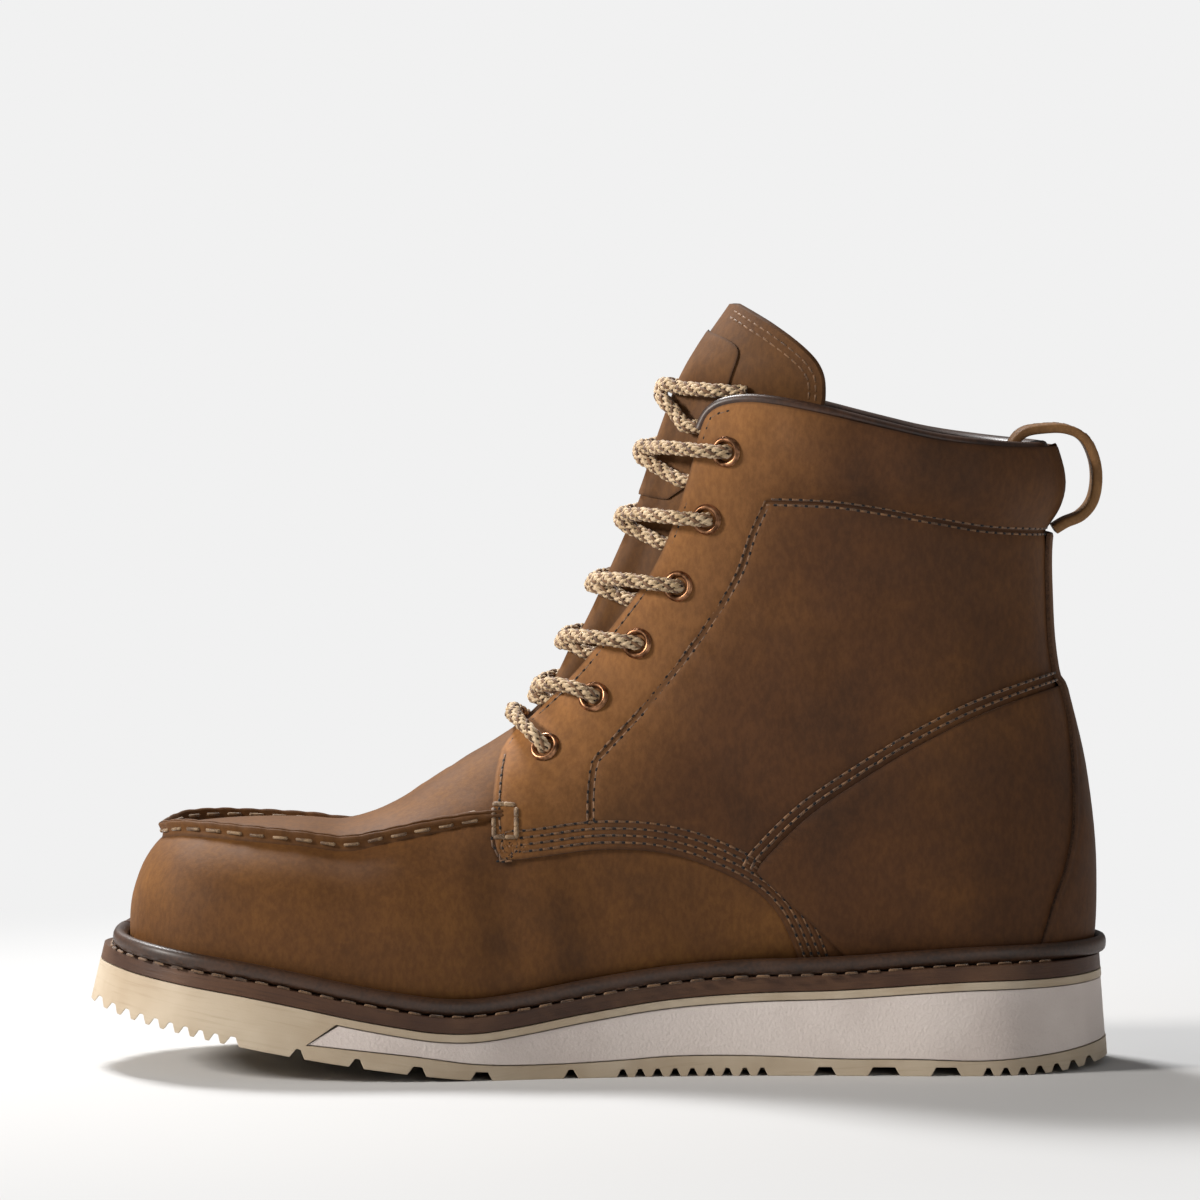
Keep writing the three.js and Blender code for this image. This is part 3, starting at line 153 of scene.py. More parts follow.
EYESTAY_SEAM = (
    (0.169, 1, 0.639), (0.155, 1, 0.58), (0.137, 1, 0.489), (0.1, 1, 0.382), (0.05, 1, 0.27),
    (0.004, 1, 0.189), (-0.009, 1, 0.164), (-0.014, 1, 0.115), (-0.015, 1, 0.048),
)
QUARTER_FRONT = (
    (-0.108, 1, 0.21), (-0.113, 1, 0.17), (-0.116, 1, 0.105), (-0.1145, 1, 0.055), (-0.11, 1.03, 0.012),
    (-0.1, 1.04, 0), (-0.066, 1.02, 0), (-0.013, 1, 0), (0.04, 0.94, 0), (0.08, 0.86, 0),
    (0.114, 0.76, 0), (0.146, 0.64, 0), (0.168, 0.52, 0), (0.186, 0.35, 0), (0.207, 0, 0),
    (0.215, -0.3, 0),
)
COUNTER_TOP = (
    (0.157, 0.72, 0), (0.167, 0.82, 0), (0.213, 1.11, 0), (0.265, 1, 0.094), (0.326, 1, 0.154),
    (0.389, 1, 0.204), (0.464, 1, 0.244), (0.56, 1, 0.258),
)
BACKSTAY_FRONT = (
    (0.463, 1, 0.548), (0.461, 1, 0.42), (0.463, 1, 0.31), (0.473, 1, 0.225), (0.481, 1, 0.102),
    (0.482, 0.95, 0), (0.475, 0.65, 0), (0.462, 0.39, 0), (0.44, -0.1, 0),
)
TONGUE_EDGE = (
    (0.133, 1, 1.034), (0.171, 1, 0.986), (0.203, 1, 0.94), (0.22, 1, 0.905), (0.226, 1, 0.867),
    (0.221, 1, 0.805), (0.197, 1, 0.71), (0.162, 1, 0.582), (0.113, 1, 0.451), (0.057, 1, 0.33),
    (0.002, 1, 0.248), (-0.047, 1, 0.198), (-0.096, 1, 0.148), (-0.131, 1, 0.118),
)
LABEL_EDGE = (
    (0.098, 1, 0.985), (0.134, 1, 0.94), (0.118, 1, 0.865), (0.101, 1, 0.78), (0.087, 1, 0.7),
    (0.052, 1, 0.66),
)

# Plan line of the moccasin seam: x from the last's middle and the half width as a share of the ball's.
MOC_SEAM = (
    (-0.4606, 0.0), (-0.4575, 0.065), (-0.4477, 0.13), (-0.4303, 0.187), (-0.4094, 0.226),
    (-0.378, 0.268), (-0.3362, 0.298), (-0.284, 0.313), (-0.2352, 0.323), (-0.1864, 0.337),
    (-0.1446, 0.349), (-0.1132, 0.356),
)

# Plan outline of the sole, its sideways sway, the seat's height and the tread's thickness.
SOLE_OUTLINE = (
    (-0.5, 0), (-0.487, 0.16), (-0.4545, 0.311), (-0.406, 0.415), (-0.341, 0.472), (-0.276, 0.495),
    (-0.211, 0.5), (-0.13, 0.484), (-0.0325, 0.436), (0.065, 0.398), (0.162, 0.38), (0.26, 0.378),
    (0.341, 0.378), (0.406, 0.352), (0.4545, 0.28), (0.487, 0.155), (0.5, 0),
)
SWAY = (
    (-0.5, -0.032), (-0.38, -0.023), (-0.22, -0.001), (-0.05, 0.027), (0.1, 0.037), (0.25, 0.029),
    (0.4, 0.015), (0.5, 0.011),
)
SEAT = (
    (-0.52, 1.12), (-0.484, 1.105), (-0.438, 1.042), (-0.39, 0.973), (-0.341, 0.901), (-0.292, 0.813),
    (-0.244, 0.717), (-0.195, 0.63), (-0.156, 0.575), (-0.117, 0.566), (-0.071, 0.623), (-0.013, 0.72),
    (0.065, 0.828), (0.146, 0.883), (0.234, 0.91), (0.351, 0.982), (0.438, 1), (0.52, 1.012),
)
TREAD = (
    (-0.28, 2.3), (-0.18, 1.55), (-0.117, 0.98), (-0.055, 0.86), (0.02, 1.02), (0.07, 1.22),
    (0.14, 1.22), (0.23, 1.02), (0.305, 1), (0.373, 0.9), (0.438, 1.2), (0.52, 1.85),
)

# The pull loop seen from the side: x, and height over its foot as a share of its rise.
PULL_LOOP = (
    (0.427, 0.62), (0.428, 0.82), (0.439, 0.955), (0.462, 1), (0.484, 0.995), (0.503, 0.91), (0.514, 0.72),
    (0.517, 0.49), (0.512, 0.28), (0.5, 0.15), (0.484, 0.085), (0.4725, 0.02),
)

# Notches at the tread's edge: start, pitch, count and whether they run across. Gaps: place and width.
NOTCH_ROWS = ((-0.489, 0.0148, 9, True), (0.022, 0.0169, 9, False), (0.376, 0.0169, 7, False))
LUG_GAPS = (
    (-0.354, 0.013), (-0.291, 0.013), (-0.234, 0.013), (-0.176, 0.017), (-0.114, 0.02),
    (-0.028, 0.013), (0.218, 0.021), (0.275, 0.03), (0.335, 0.028),
)

# Soft creases of the leather, seen from the side: two ends, half width and depth, in millimetres.
CREASES = (
    (-30, 60, -27, 40, 7.0, 1.1),
    (-22, 62, -2, 52, 9.0, 0.5),
    (-46, 66, -42, 48, 8.0, 0.45),
    (2, 108, 14, 104, 2.2, 0.28),
    (4, 112, 18, 110, 2.0, 0.24),
    (14, 124, 30, 121, 2.4, 0.3),
    (20, 136, 34, 130, 2.6, 0.26),
    (26, 141, 44, 137, 2.4, 0.25),
    (30, 118, 58, 112, 3.2, 0.3),
    (34, 128, 60, 124, 3.0, 0.3),
    (44, 140, 66, 139, 3.0, 0.28),
    (70, 124, 100, 131, 6.0, 0.5),
    (60, 106, 82, 112, 5.0, 0.35),
    (88, 142, 118, 138, 5.5, 0.35),
    (52, 192, 60, 178, 4.0, 0.45),
    (78, 190, 84, 174, 5.0, 0.4),
    (104, 186, 108, 170, 5.0, 0.35),
    (122, 184, 127, 169, 4.0, 0.45),
    (-14, 88, -6, 94, 2.0, 0.22),
    (-26, 84, -16, 82, 2.4, 0.22),
    (-62, 76, -40, 84, 4.0, 0.35),
)


def curve(
    start: np.ndarray, end: np.ndarray, slope_start: np.ndarray, slope_end: np.ndarray, share: np.ndarray
) -> np.ndarray:
    """Smooth curve between two values with given slopes.

    Args:
        start: Value at share 0.
        end: Value at share 1.
        slope_start: Slope at share 0.
        slope_end: Slope at share 1.
        share: Where to read the curve, from 0 to 1.

    Returns:
        The value there.
    """
    cubic = 2 * start - 2 * end + slope_start + slope_end
    square = 3 * end - 3 * start - 2 * slope_start - slope_end
    return ((cubic * share + square) * share + slope_start) * share + start


def look_up(rows: Sequence[Sequence[float]], x: np.ndarray) -> np.ndarray:
    """Value of a two-column table on a smooth curve through its rows.

    Args:
        rows: Pairs of place and value, in rising order of place.
        x: Places to read.

    Returns:
        The value at each place.
    """
    table = np.array(rows, float)
    x = np.asarray(x, float)
    last = len(table) - 1
    i = np.clip(np.searchsorted(table[:, 0], x, side="left") - 1, 0, last - 1)
    before, after = np.maximum(i - 1, 0), np.minimum(i + 2, last)
    a, b, c, d = table[before], table[i], table[i + 1], table[after]
    run = c[..., 0] - b[..., 0]
    s = np.clip((x - b[..., 0]) / run, 0, 1)
    slope_b = (c[..., 1] - a[..., 1]) / (c[..., 0] - a[..., 0]) * run
    slope_c = (d[..., 1] - b[..., 1]) / (d[..., 0] - b[..., 0]) * run
    return curve(b[..., 1], c[..., 1], slope_b, slope_c, s)


def smoothstep(low: float, high: float, value: np.ndarray) -> np.ndarray:
    """Soft step from 0 at low to 1 at high."""
    s = np.clip((np.asarray(value, float) - low) / (high - low), 0, 1)
    return s * s * (3 - 2 * s)


def spline(points: np.ndarray, steps: int = 16) -> np.ndarray:
    """Smooth open line through points, sampled evenly between each two of them.

    Args:
        points: Points of any dimension, one per row.
        steps: Samples for each stretch between two points.

    Returns:
        The sampled line.
    """
    points = np.asarray(points, float)
    last = len(points) - 1
    t = np.linspace(0, last, last * steps + 1)
    i = np.minimum(t.astype(int), last - 1)
    s = (t - i)[:, None]
    a, b = points[np.maximum(i - 1, 0)], points[i]
    c, d = points[i + 1], points[np.minimum(i + 2, last)]
    return curve(b, c, (c - a) / 2, (d - b) / 2, s)


def centripetal(points: np.ndarray, closed: bool, steps: int = 16) -> np.ndarray:
    """Smooth line through unevenly spaced points, without loops between close ones.

    Args:
        points: Points in space, one per row.
        closed: Whether the line comes back to its start.
        steps: Samples for each stretch between two points.

    Returns:
        The sampled line, without a repeated last point where it is closed.
    """
    points = np.asarray(points, float)
    count = len(points)
    if closed:
        padded = np.vstack([points[-1:], points, points[:2]])
    else:
        padded = np.vstack([2 * points[0] - points[1], points, 2 * points[-1] - points[-2]])
    pieces = []
    for k in range(count if closed else count - 1):
        p0, p1, p2, p3 = padded[k:k + 4]
        d0, d1, d2 = (max(np.linalg.norm(b - a) ** 0.5, 1e-4) for a, b in ((p0, p1), (p1, p2), (p2, p3)))
        m1 = ((p1 - p0) / d0 - (p2 - p0) / (d0 + d1) + (p2 - p1) / d1) * d1
        m2 = ((p2 - p1) / d1 - (p3 - p1) / (d1 + d2) + (p3 - p2) / d2) * d1
        s = (np.arange(steps) / steps)[:, None]
        pieces.append(curve(p1, p2, m1, m2, s))
    if not closed:
        pieces.append(points[-1:])
    return np.vstack(pieces)


def arc_lengths(points: np.ndarray) -> np.ndarray:
    """Distance along a line of points to each of them."""
    return np.concatenate([[0.0], np.cumsum(np.linalg.norm(np.diff(points, axis=0), axis=1))])


def unit(vectors: np.ndarray) -> np.ndarray:
    """Vectors scaled to length one, row by row."""
    return vectors / np.maximum(np.linalg.norm(vectors, axis=-1), 1e-9)[..., None]


def heading(path: np.ndarray) -> np.ndarray:
    """Unit directions along an open path."""
    return unit(np.gradient(path, axis=0))


def read_at(wanted: np.ndarray, lengths: np.ndarray, rows: np.ndarray) -> np.ndarray:
    """Rows interpolated at wanted lengths.

    Args:
        wanted: Lengths to read at.
        lengths: Length at each row, rising.
        rows: The rows.

    Returns:
        One row for each wanted length.
    """
    return np.column_stack([np.interp(wanted, lengths, column) for column in rows.T])


def halved(low: np.ndarray, high: np.ndarray, early: Callable[[np.ndarray], np.ndarray]) -> np.ndarray:
    """Closes in on the places where a test turns false, by halving intervals.

    Args:
        low: Lower ends, where the test is true.
        high: Upper ends, where it is false.
        early: The test of a place in each interval.

    Returns:
        The places.
    """
    for _ in range(HALVINGS):
        middle = (low + high) / 2
        ahead = early(middle)
        low, high = np.where(ahead, middle, low), np.where(ahead, high, middle)
    return low


def circle(count: int, start: float = 0.0) -> np.ndarray:
    """Angles of evenly spaced directions, from a share of one step on."""
    return 2 * math.pi * (np.arange(count) + start) / count


def resample(values: np.ndarray, lengths: np.ndarray, step: float) -> np.ndarray:
    """Rows of values at even steps of a length that rises with them.

    Args:
        values: One row for each sample.
        lengths: Length along the line at each sample.
        step: Wanted spacing.

    Returns:
        Rows interpolated at the even spacing, both ends kept.
    """
    count = max(2, int(round(lengths[-1] / step)) + 1)
    return read_at(np.linspace(0, lengths[-1], count), lengths, values)


@dataclass
class Ground:
    """Heights and plan outline of the sole, which every other form rests on."""

    length: float = 308.0
    width: float = 111.0
    heel_height: float = 33.2
    toe_spring: float = 20.0
    spring_start: float = -34.0
    heel_bevel: float = 2.4
    bevel_start: float = 125.0
    toe_slope: float = 0.235
    heel_slope: float = 0.078
    side_slope: float = 0.06

    def seat(self, x: np.ndarray) -> np.ndarray:
        """Height of the midsole's top over the floor."""
        return self.heel_height * look_up(SEAT, np.asarray(x, float) / self.length)

    def floor(self, x: np.ndarray) -> np.ndarray:
        """Height of the tread's underside, with the toe spring and the heel's bevel."""
        x = np.asarray(x, float)
        toe = np.clip((self.spring_start - x) / (self.spring_start + self.length / 2), 0, None)
        heel = np.clip((x - self.bevel_start) / (self.length / 2 - self.bevel_start), 0, None)
        return self.toe_spring * toe ** 1.3 + self.heel_bevel * heel ** 1.6

    def sway(self, x: np.ndarray) -> np.ndarray:
        """Sideways place of the sole's middle line."""
        return self.width * look_up(SWAY, np.asarray(x, float) / self.length)

    def outline(self, z: float, inset: float = 0.0, step: float = 2.2) -> np.ndarray:
        """Plan outline of the sole's side at a height.

        Args:
            z: Height that the slopes of the side are taken at.
            inset: Distance that the outline is drawn in by.
            step: Spacing of the points.

        Returns:
            Closed ring of points, as x and y.
        """
        near = [(x * self.length, -half * self.width) for x, half in SOLE_OUTLINE]
        far = [(x, -y) for x, y in near[1:-1]][::-1]
        ring = centripetal(np.array(near + far), True, 12)
        closed = np.vstack([ring, ring[:1]])
        ring = resample(closed, arc_lengths(closed), step)[:-1]
        share = ring[:, 0] / (self.length / 2)
        shift = np.where(
            share < 0,
            self.toe_slope * (z - self.toe_spring) * np.abs(share) ** 3,
            -self.heel_slope * (z - self.heel_bevel) * np.abs(share) ** 3,
        )
        y = ring[:, 1] * (1 - 2 * self.side_slope * z / self.width) + self.sway(ring[:, 0])
        ring = np.column_stack([ring[:, 0] + shift, y])
        if inset:
            along = unit(np.roll(ring, -1, axis=0) - np.roll(ring, 1, axis=0))
            ring = ring + np.column_stack([-along[:, 1], along[:, 0]]) * inset
        return ring


@dataclass
class Last:
    """The foot form as a surface: t runs through its sections and an angle goes round each of them."""

    ground: Ground
    length: float = 287.0
    shift: float = 1.5
    ball_width: float = 98.0
    toe_height: float = 43.0
    shaft_height: float = 154.0
    rows: np.ndarray = field(init=False)
    cloud: np.ndarray = field(init=False)
    tables: tuple[np.ndarray, np.ndarray] | None = None

    def __post_init__(self) -> None:
        """Works the sections out in millimetres and scatters the points that panels are filled with."""
        table = np.array(LAST_TABLE, float)
        top_x, low_x = self.x(table[:, 0]), self.x(table[:, 3])
        top_z = self.height(top_x, table[:, 1], table[:, 2])
        low_z = self.height(low_x, table[:, 4], table[:, 5])
        half = table[:, 6] * self.ball_width / 2
        self.rows = np.column_stack([top_x, top_z, low_x, low_z, half, table[:, 7:11]])
        self.cloud = self.scatter(2.3)

    @property
    def end(self) -> int:
        """Number of the last section."""
        return len(self.rows) - 1

    def x(self, share: np.ndarray) -> np.ndarray:
        """Place along the boot of a share of the last's length."""
        return self.shift + np.asarray(share, float) * self.length

    def height(self, x: np.ndarray, toe: np.ndarray, shaft: np.ndarray) -> np.ndarray:
        """Height of a place given by its shares of the toe's and the shaft's height over the seat."""
        return self.ground.seat(x) + np.asarray(toe) * self.toe_height + np.asarray(shaft) * self.shaft_height

    def height_of(self, row: Sequence[float]) -> float:
        """Height of a row of a side table."""
        return float(self.height(self.x(row[0]), row[1], row[2]))

    def row(self, t: np.ndarray) -> np.ndarray:
        """Section at t, smooth between the table's sections."""
        t = np.atleast_1d(np.asarray(t, float))
        i = np.clip(np.floor(t).astype(int), 0, self.end - 1)
        a, b = self.rows[np.maximum(i - 1, 0)], self.rows[i]
        c, d = self.rows[i + 1], self.rows[np.minimum(i + 2, self.end)]
        s = (t - i)[:, None]
        return curve(b, c, (c - a) / 2, (d - b) / 2, s)

    def bare(self, place: Line) -> tuple[np.ndarray, np.ndarray, np.ndarray]:
        """Points of the surface.

        Args:
            place: Rows of t and angle.

        Returns:
            The points, how far each lies from the front of its section as a share, and its half width.
        """
        place = np.atleast_2d(place)
        row = self.row(place[:, 0])
        cos, sin = np.cos(place[:, 1]), np.sin(place[:, 1])
        front = cos >= 0
        power = np.where(front, row[:, 6], row[:, 7])
        along = np.abs(cos) ** (2 / power)
        widest = row[:, 5]
        u = np.where(front, widest * (1 - along), widest + (1 - widest) * along)
        narrow = np.where(front, 1 - row[:, 8] * cos * cos, 1)
        half = row[:, 4] * np.abs(sin) ** (2 / power) * narrow
        x = row[:, 0] + (row[:, 2] - row[:, 0]) * u
        z = row[:, 1] + (row[:, 3] - row[:, 1]) * u
        base = float(self.ground.seat(0.0)) + self.toe_height / 2
        fade = 1 - smoothstep(base, base + 1.5 * self.toe_height, z)
        return np.column_stack([x, half * np.sign(sin) + self.ground.sway(x) * fade, z]), u, half

    def normal(self, place: Line) -> np.ndarray:
        """Outward unit normals of the surface."""
        place = np.atleast_2d(place)
        step_t, step_a = 0.04, 0.02
        ahead, behind, left, right = (place.copy() for _ in range(4))
        ahead[:, 0] = np.maximum(place[:, 0] - step_t, 0.005)
        behind[:, 0] = np.minimum(place[:, 0] + step_t, self.end)
        left[:, 1] -= step_a
        right[:, 1] += step_a
        across = self.bare(right)[0] - self.bare(left)[0]
        along = self.bare(behind)[0] - self.bare(ahead)[0]
        normal = unit(np.cross(across, along))
        row = self.row(place[:, 0])
        middle = np.column_stack([
            row[:, 0] + (row[:, 2] - row[:, 0]) * row[:, 5],
            np.zeros(len(row)),
            row[:, 1] + (row[:, 3] - row[:, 1]) * row[:, 5],
        ])
        outward = np.sum(normal * (self.bare(place)[0] - middle), axis=1) < 0
        normal[outward] *= -1
        return normal

    def points(self, place: Line, lift: np.ndarray | float = 0.0) -> np.ndarray:
        """Points at a distance outside the surface."""
        lift = np.broadcast_to(np.asarray(lift, float), (len(np.atleast_2d(place)),))
        return self.bare(place)[0] + self.normal(place) * lift[:, None]

    def locate(self, points: np.ndarray, side: Side) -> Line:
        """Places on one side of the last that points seen from the side lie on.

        Args:
            points: Rows of x and z.
            side: Side of the boot.

        Returns:
            Rows of t and angle.
        """
        points = np.atleast_2d(points)
        x, z = points[:, 0], points[:, 1]

        def ahead(t: np.ndarray) -> np.ndarray:
            """Positive where the section at t hasn't yet reached the point."""
            row = self.row(t)
            return (row[:, 2] - row[:, 0]) * (z - row[:, 1]) - (row[:, 3] - row[:, 1]) * (x - row[:, 0])

        low = np.full(len(points), TOE_START)
        high = np.full(len(points), float(self.end))
        found = np.zeros(len(points), bool)
        for t in np.arange(0.25, self.end + 0.25, 0.25):
            crossed = ~found & (ahead(np.full(len(points), min(t, self.end))) <= 0)
            high[crossed] = min(t, self.end)
            found |= crossed
            low = np.where(found, low, min(t, self.end))
        low = halved(low, high, lambda t: ahead(t) > 0)
        row = self.row(low)
        run_x, run_z = row[:, 2] - row[:, 0], row[:, 3] - row[:, 1]
        u = np.clip(((x - row[:, 0]) * run_x + (z - row[:, 1]) * run_z) / (run_x ** 2 + run_z ** 2), 0, 1)
        widest = row[:, 5]
        front = u < widest
        share = np.where(front, 1 - u / widest, (u - widest) / (1 - widest))
        cos = np.where(front, share ** (row[:, 6] / 2), -np.abs(share) ** (row[:, 7] / 2))
        return np.column_stack([low, np.arccos(np.clip(cos, -1, 1)) * side.value])

    def charts(self) -> tuple[np.ndarray, np.ndarray]:
        """Mean length along the sections, and the length round each of them from its front."""
        if self.tables is None:
            fine, around = np.linspace(0, self.end, 241), np.linspace(0, math.pi, 91)
            grid = np.array([self.bare(np.column_stack([fine, np.full(len(fine), a)]))[0] for a in around])
            runs = np.linalg.norm(np.diff(grid, axis=1), axis=2).mean(axis=0)
            steps = np.linalg.norm(np.diff(grid, axis=0), axis=2)
            reach = np.vstack([np.zeros(len(fine)), np.cumsum(steps, axis=0)]).T
            self.tables = (np.concatenate([[0], np.cumsum(runs)]), reach)
        return self.tables

    def from_back(self, t: np.ndarray, distance: float) -> np.ndarray:
        """Angle at which the surface lies a distance from the middle of the back."""
        _, around = self.charts()
        rows = np.clip(np.round(t / self.end * (len(around) - 1)).astype(int), 0, len(around) - 1)
        angles = np.linspace(0, math.pi, around.shape[1])
        return np.array([np.interp(around[i, -1] - distance, around[i], angles) for i in rows])

    def side_line(self, rows: Sequence[Sequence[float]], side: Side, step: float = 1.2) -> Line:
        """A line of a table, laid on one side of the last at even steps."""
        table = np.array(rows, float)
        x = self.x(table[:, 0])
        seen = spline(np.column_stack([x, self.height(x, table[:, 1], table[:, 2])]))
        return self.even(self.locate(seen, side), step)

    def plan_line(self, rows: Sequence[Sequence[float]], side: Side, step: float = 1.2) -> Line:
        """A line given by its place along the foot and its half width, laid on the front of the last."""
        table = np.array(rows, float)
        x, half = self.x(table[:, 0]), table[:, 1] * self.ball_width
        low = halved(np.full(len(x), TOE_START), np.full(len(x), self.end / 2), lambda t: self.row(t)[:, 0] < x)
        row = self.row(low)
        angle = np.arcsin(np.clip(half / row[:, 4], 0, 1) ** (row[:, 6] / 2))
        return self.even(spline(np.column_stack([low, angle * side.value])), step)

    def even(self, place: Line, step: float) -> Line:
        """The same line on the surface with its points at even steps."""
        return resample(place, arc_lengths(self.bare(place)[0]), step)

    def moved(self, place: Line, distance: float) -> Line:
        """A line beside another one on the surface.

        Args:
            place: Rows of t and angle.
            distance: How far to the left of the line's run it lies, seen from outside.

        Returns:
            The line's places moved sideways.
        """
        for _ in range(2):
            points = self.bare(place)[0]
            sideways = np.cross(self.normal(place), heading(points)) * distance / 2
            step = np.array([0.02, 0.01])
            by_t = (self.bare(place + [step[0], 0])[0] - points) / step[0]
            by_a = (self.bare(place + [0, step[1]])[0] - points) / step[1]
            tt, aa, ta = (np.sum(p * q, axis=1) for p, q in ((by_t, by_t), (by_a, by_a), (by_t, by_a)))
            t_side, a_side = np.sum(by_t * sideways, axis=1), np.sum(by_a * sideways, axis=1)
            scale = np.maximum(tt * aa - ta * ta, 1e-6)
            change = np.column_stack([(t_side * aa - a_side * ta) / scale, (a_side * tt - t_side * ta) / scale])
            place = place + change
            place[:, 0] = np.clip(place[:, 0], TOE_START, self.end)
        return place

    def above_seat(self, place: Line, rise: float) -> np.ndarray:
        """Which places of the surface lie more than a rise over the seat."""
        points = self.bare(place)[0]
        return points[:, 2] > self.ground.seat(points[:, 0]) + rise

    def middle_line(self, start: Sequence[float], end: Sequence[float], step: float = 1.2) -> Line:
        """A line from one place over the front to another, without its ends."""
        stops = [start, [start[0], 0.0], end]
        return self.even(np.array(stops), step)[1:-1]

    def foot_line(self, rise: float, side: Side, count: int = 220) -> Line:
        """The line round one side of the foot at a height over the seat, from the toe to the heel."""
        rows = np.linspace(TOE_START, self.end, 1400)
        row = self.row(rows)
        inside = rows[row[:, 3] < self.ground.seat(row[:, 2]) + rise]
        start, end = inside[0], inside[-1]
        t = (start + end) / 2 - (end - start) / 2 * np.cos(np.linspace(0, math.pi, count))
        low = halved(
            np.full(count, math.pi / 2), np.full(count, math.pi),
            lambda angle: self.above_seat(np.column_stack([t, angle]), rise),
        )
        low[0] = low[-1] = math.pi
        return self.even(np.column_stack([t, low * side.value]), 1.4)

    def scatter(self, spacing: float) -> np.ndarray:
        """Places spread evenly over the whole surface.

        Args:
            spacing: Wanted distance between neighbours.

        Returns:
            Rows of t, angle, x, y and z.
        """
        fine = np.linspace(TOE_START, self.end, 600)
        steps = np.zeros(len(fine) - 1)
        for angle in np.linspace(0, math.pi, 9):
            line = self.bare(np.column_stack([fine, np.full(len(fine), angle)]))[0]
            steps = np.maximum(steps, np.linalg.norm(np.diff(line, axis=0), axis=1))
        lengths = np.concatenate([[0], np.cumsum(steps)])
        rows = np.interp(np.arange(0, lengths[-1], spacing), lengths, fine)
        around = np.linspace(-math.pi, math.pi, 721)
        places = []
        for k, t in enumerate(rows):
            ring = np.column_stack([np.full(len(around), t), around])
            lengths = arc_lengths(self.bare(ring)[0])
            wanted = np.arange((0.25 + 0.5 * (k % 2)) * spacing, lengths[-1], spacing)
            places.append(np.column_stack([np.full(len(wanted), t), np.interp(wanted, lengths, around)]))
        places = np.vstack(places)
        points = self.bare(places)[0]
        return np.column_stack([places, points])[thinned(points, 0.72 * spacing)]


def thinned(points: np.ndarray, spacing: float) -> np.ndarray:
    """Picks points so that none lies too close to one picked before it.

    Args:
        points: Points in space.
        spacing: Least distance between two of them.

    Returns:
        Indices of the points picked.
    """
    cells: dict[tuple[int, int, int], list[int]] = {}
    picked = []
    keys = np.floor(points / spacing).astype(int)
    limit = spacing * spacing
    near = [(i, j, k) for i in (-1, 0, 1) for j in (-1, 0, 1) for k in (-1, 0, 1)]
    rows = points.tolist()
    for index, key in enumerate(map(tuple, keys.tolist())):
        x, y, z = rows[index]
        others = (rows[o] for i, j, k in near for o in cells.get((key[0] + i, key[1] + j, key[2] + k), ()))
        if all((a - x) ** 2 + (b - y) ** 2 + (c - z) ** 2 >= limit for a, b, c in others):
            cells.setdefault(key, []).append(index)
            picked.append(index)
    return np.array(picked)


def inside(points: np.ndarray, ring: np.ndarray) -> np.ndarray:
    """Which flat points lie inside a closed ring.

    Args:
        points: Points to test, two columns.
        ring: Corners of the ring, two columns.

    Returns:
        One truth value for each point.
    """
    result = np.zeros(len(points), bool)
    x, y = points[:, 0], points[:, 1]
    following = np.roll(ring, -1, axis=0)
    for (ax, ay), (bx, by) in zip(ring, following):
        if ay == by:
            continue
        crosses = (ay > y) != (by > y)
        result ^= crosses & (x < (bx - ax) * (y - ay) / (by - ay) + ax)
    return result


def make_object(name: str, points: np.ndarray, faces: Sequence[Sequence[int]]) -> bpy.types.Object:
    """Makes a mesh object at the origin from points in millimetres.

    Args:
        name: Name of the piece.
        points: Corners in millimetres.
        faces: Corner indices of each face.

    Returns:
        The new object, linked to the scene.
    """
    mesh = bpy.data.meshes.new(name)
    mesh.from_pydata((np.asarray(points, float) * MM).tolist(), [], [list(map(int, f)) for f in faces])
    mesh.validate()
    piece = bpy.data.objects.new(name, mesh)
    bpy.context.scene.collection.objects.link(piece)
    return piece


def smooth_shade(piece: bpy.types.Object, angle: float = 35.0) -> None:
    """Shades a piece smooth but for the edges that turn more sharply than an angle in degrees."""
    work = bmesh.new()
    work.from_mesh(piece.data)
    limit = math.radians(angle)
    for edge in work.edges:
        sharp = len(edge.link_faces) == 2 and edge.calc_face_angle(0.0) > limit
        edge.smooth = not sharp
    for face in work.faces:
        face.smooth = True
    work.to_mesh(piece.data)
    work.free()


def face_outwards(piece: bpy.types.Object) -> None:
    """Turns the faces of a closed piece so that they all look outwards."""
    work = bmesh.new()
    work.from_mesh(piece.data)
    bmesh.ops.recalc_face_normals(work, faces=work.faces)
    if work.calc_volume(signed=True) < 0:
        bmesh.ops.reverse_faces(work, faces=work.faces)
    work.to_mesh(piece.data)
    work.free()


def set_attribute(piece: bpy.types.Object, name: str, values: np.ndarray) -> None:
    """Stores one number for each corner of a piece, for its material to read."""
    attribute = piece.data.attributes.new(name, "FLOAT", "POINT")
    attribute.data.foreach_set("value", np.asarray(values, np.float32))


def loft(name: str, rings: np.ndarray, closed: bool = False) -> bpy.types.Object:
    """Skin over rings of equal length, its two ends closed unless the rings form a loop.

    Args:
        name: Name of the piece.
        rings: Array of rings, each of the same number of points.
        closed: Whether the last ring joins the first.

    Returns:
        The new object.
    """
    count, size = rings.shape[:2]
    points = rings.reshape(-1, 3)
    faces = []
    for ring in range(count if closed else count - 1):
        following = (ring + 1) % count
        for i in range(size):
            j = (i + 1) % size
            faces.append((ring * size + i, ring * size + j, following * size + j, following * size + i))
    if not closed:
        faces.append(tuple(range(size))[::-1])
        faces.append(tuple((count - 1) * size + i for i in range(size)))
    piece = make_object(name, points, faces)
    face_outwards(piece)
    return piece


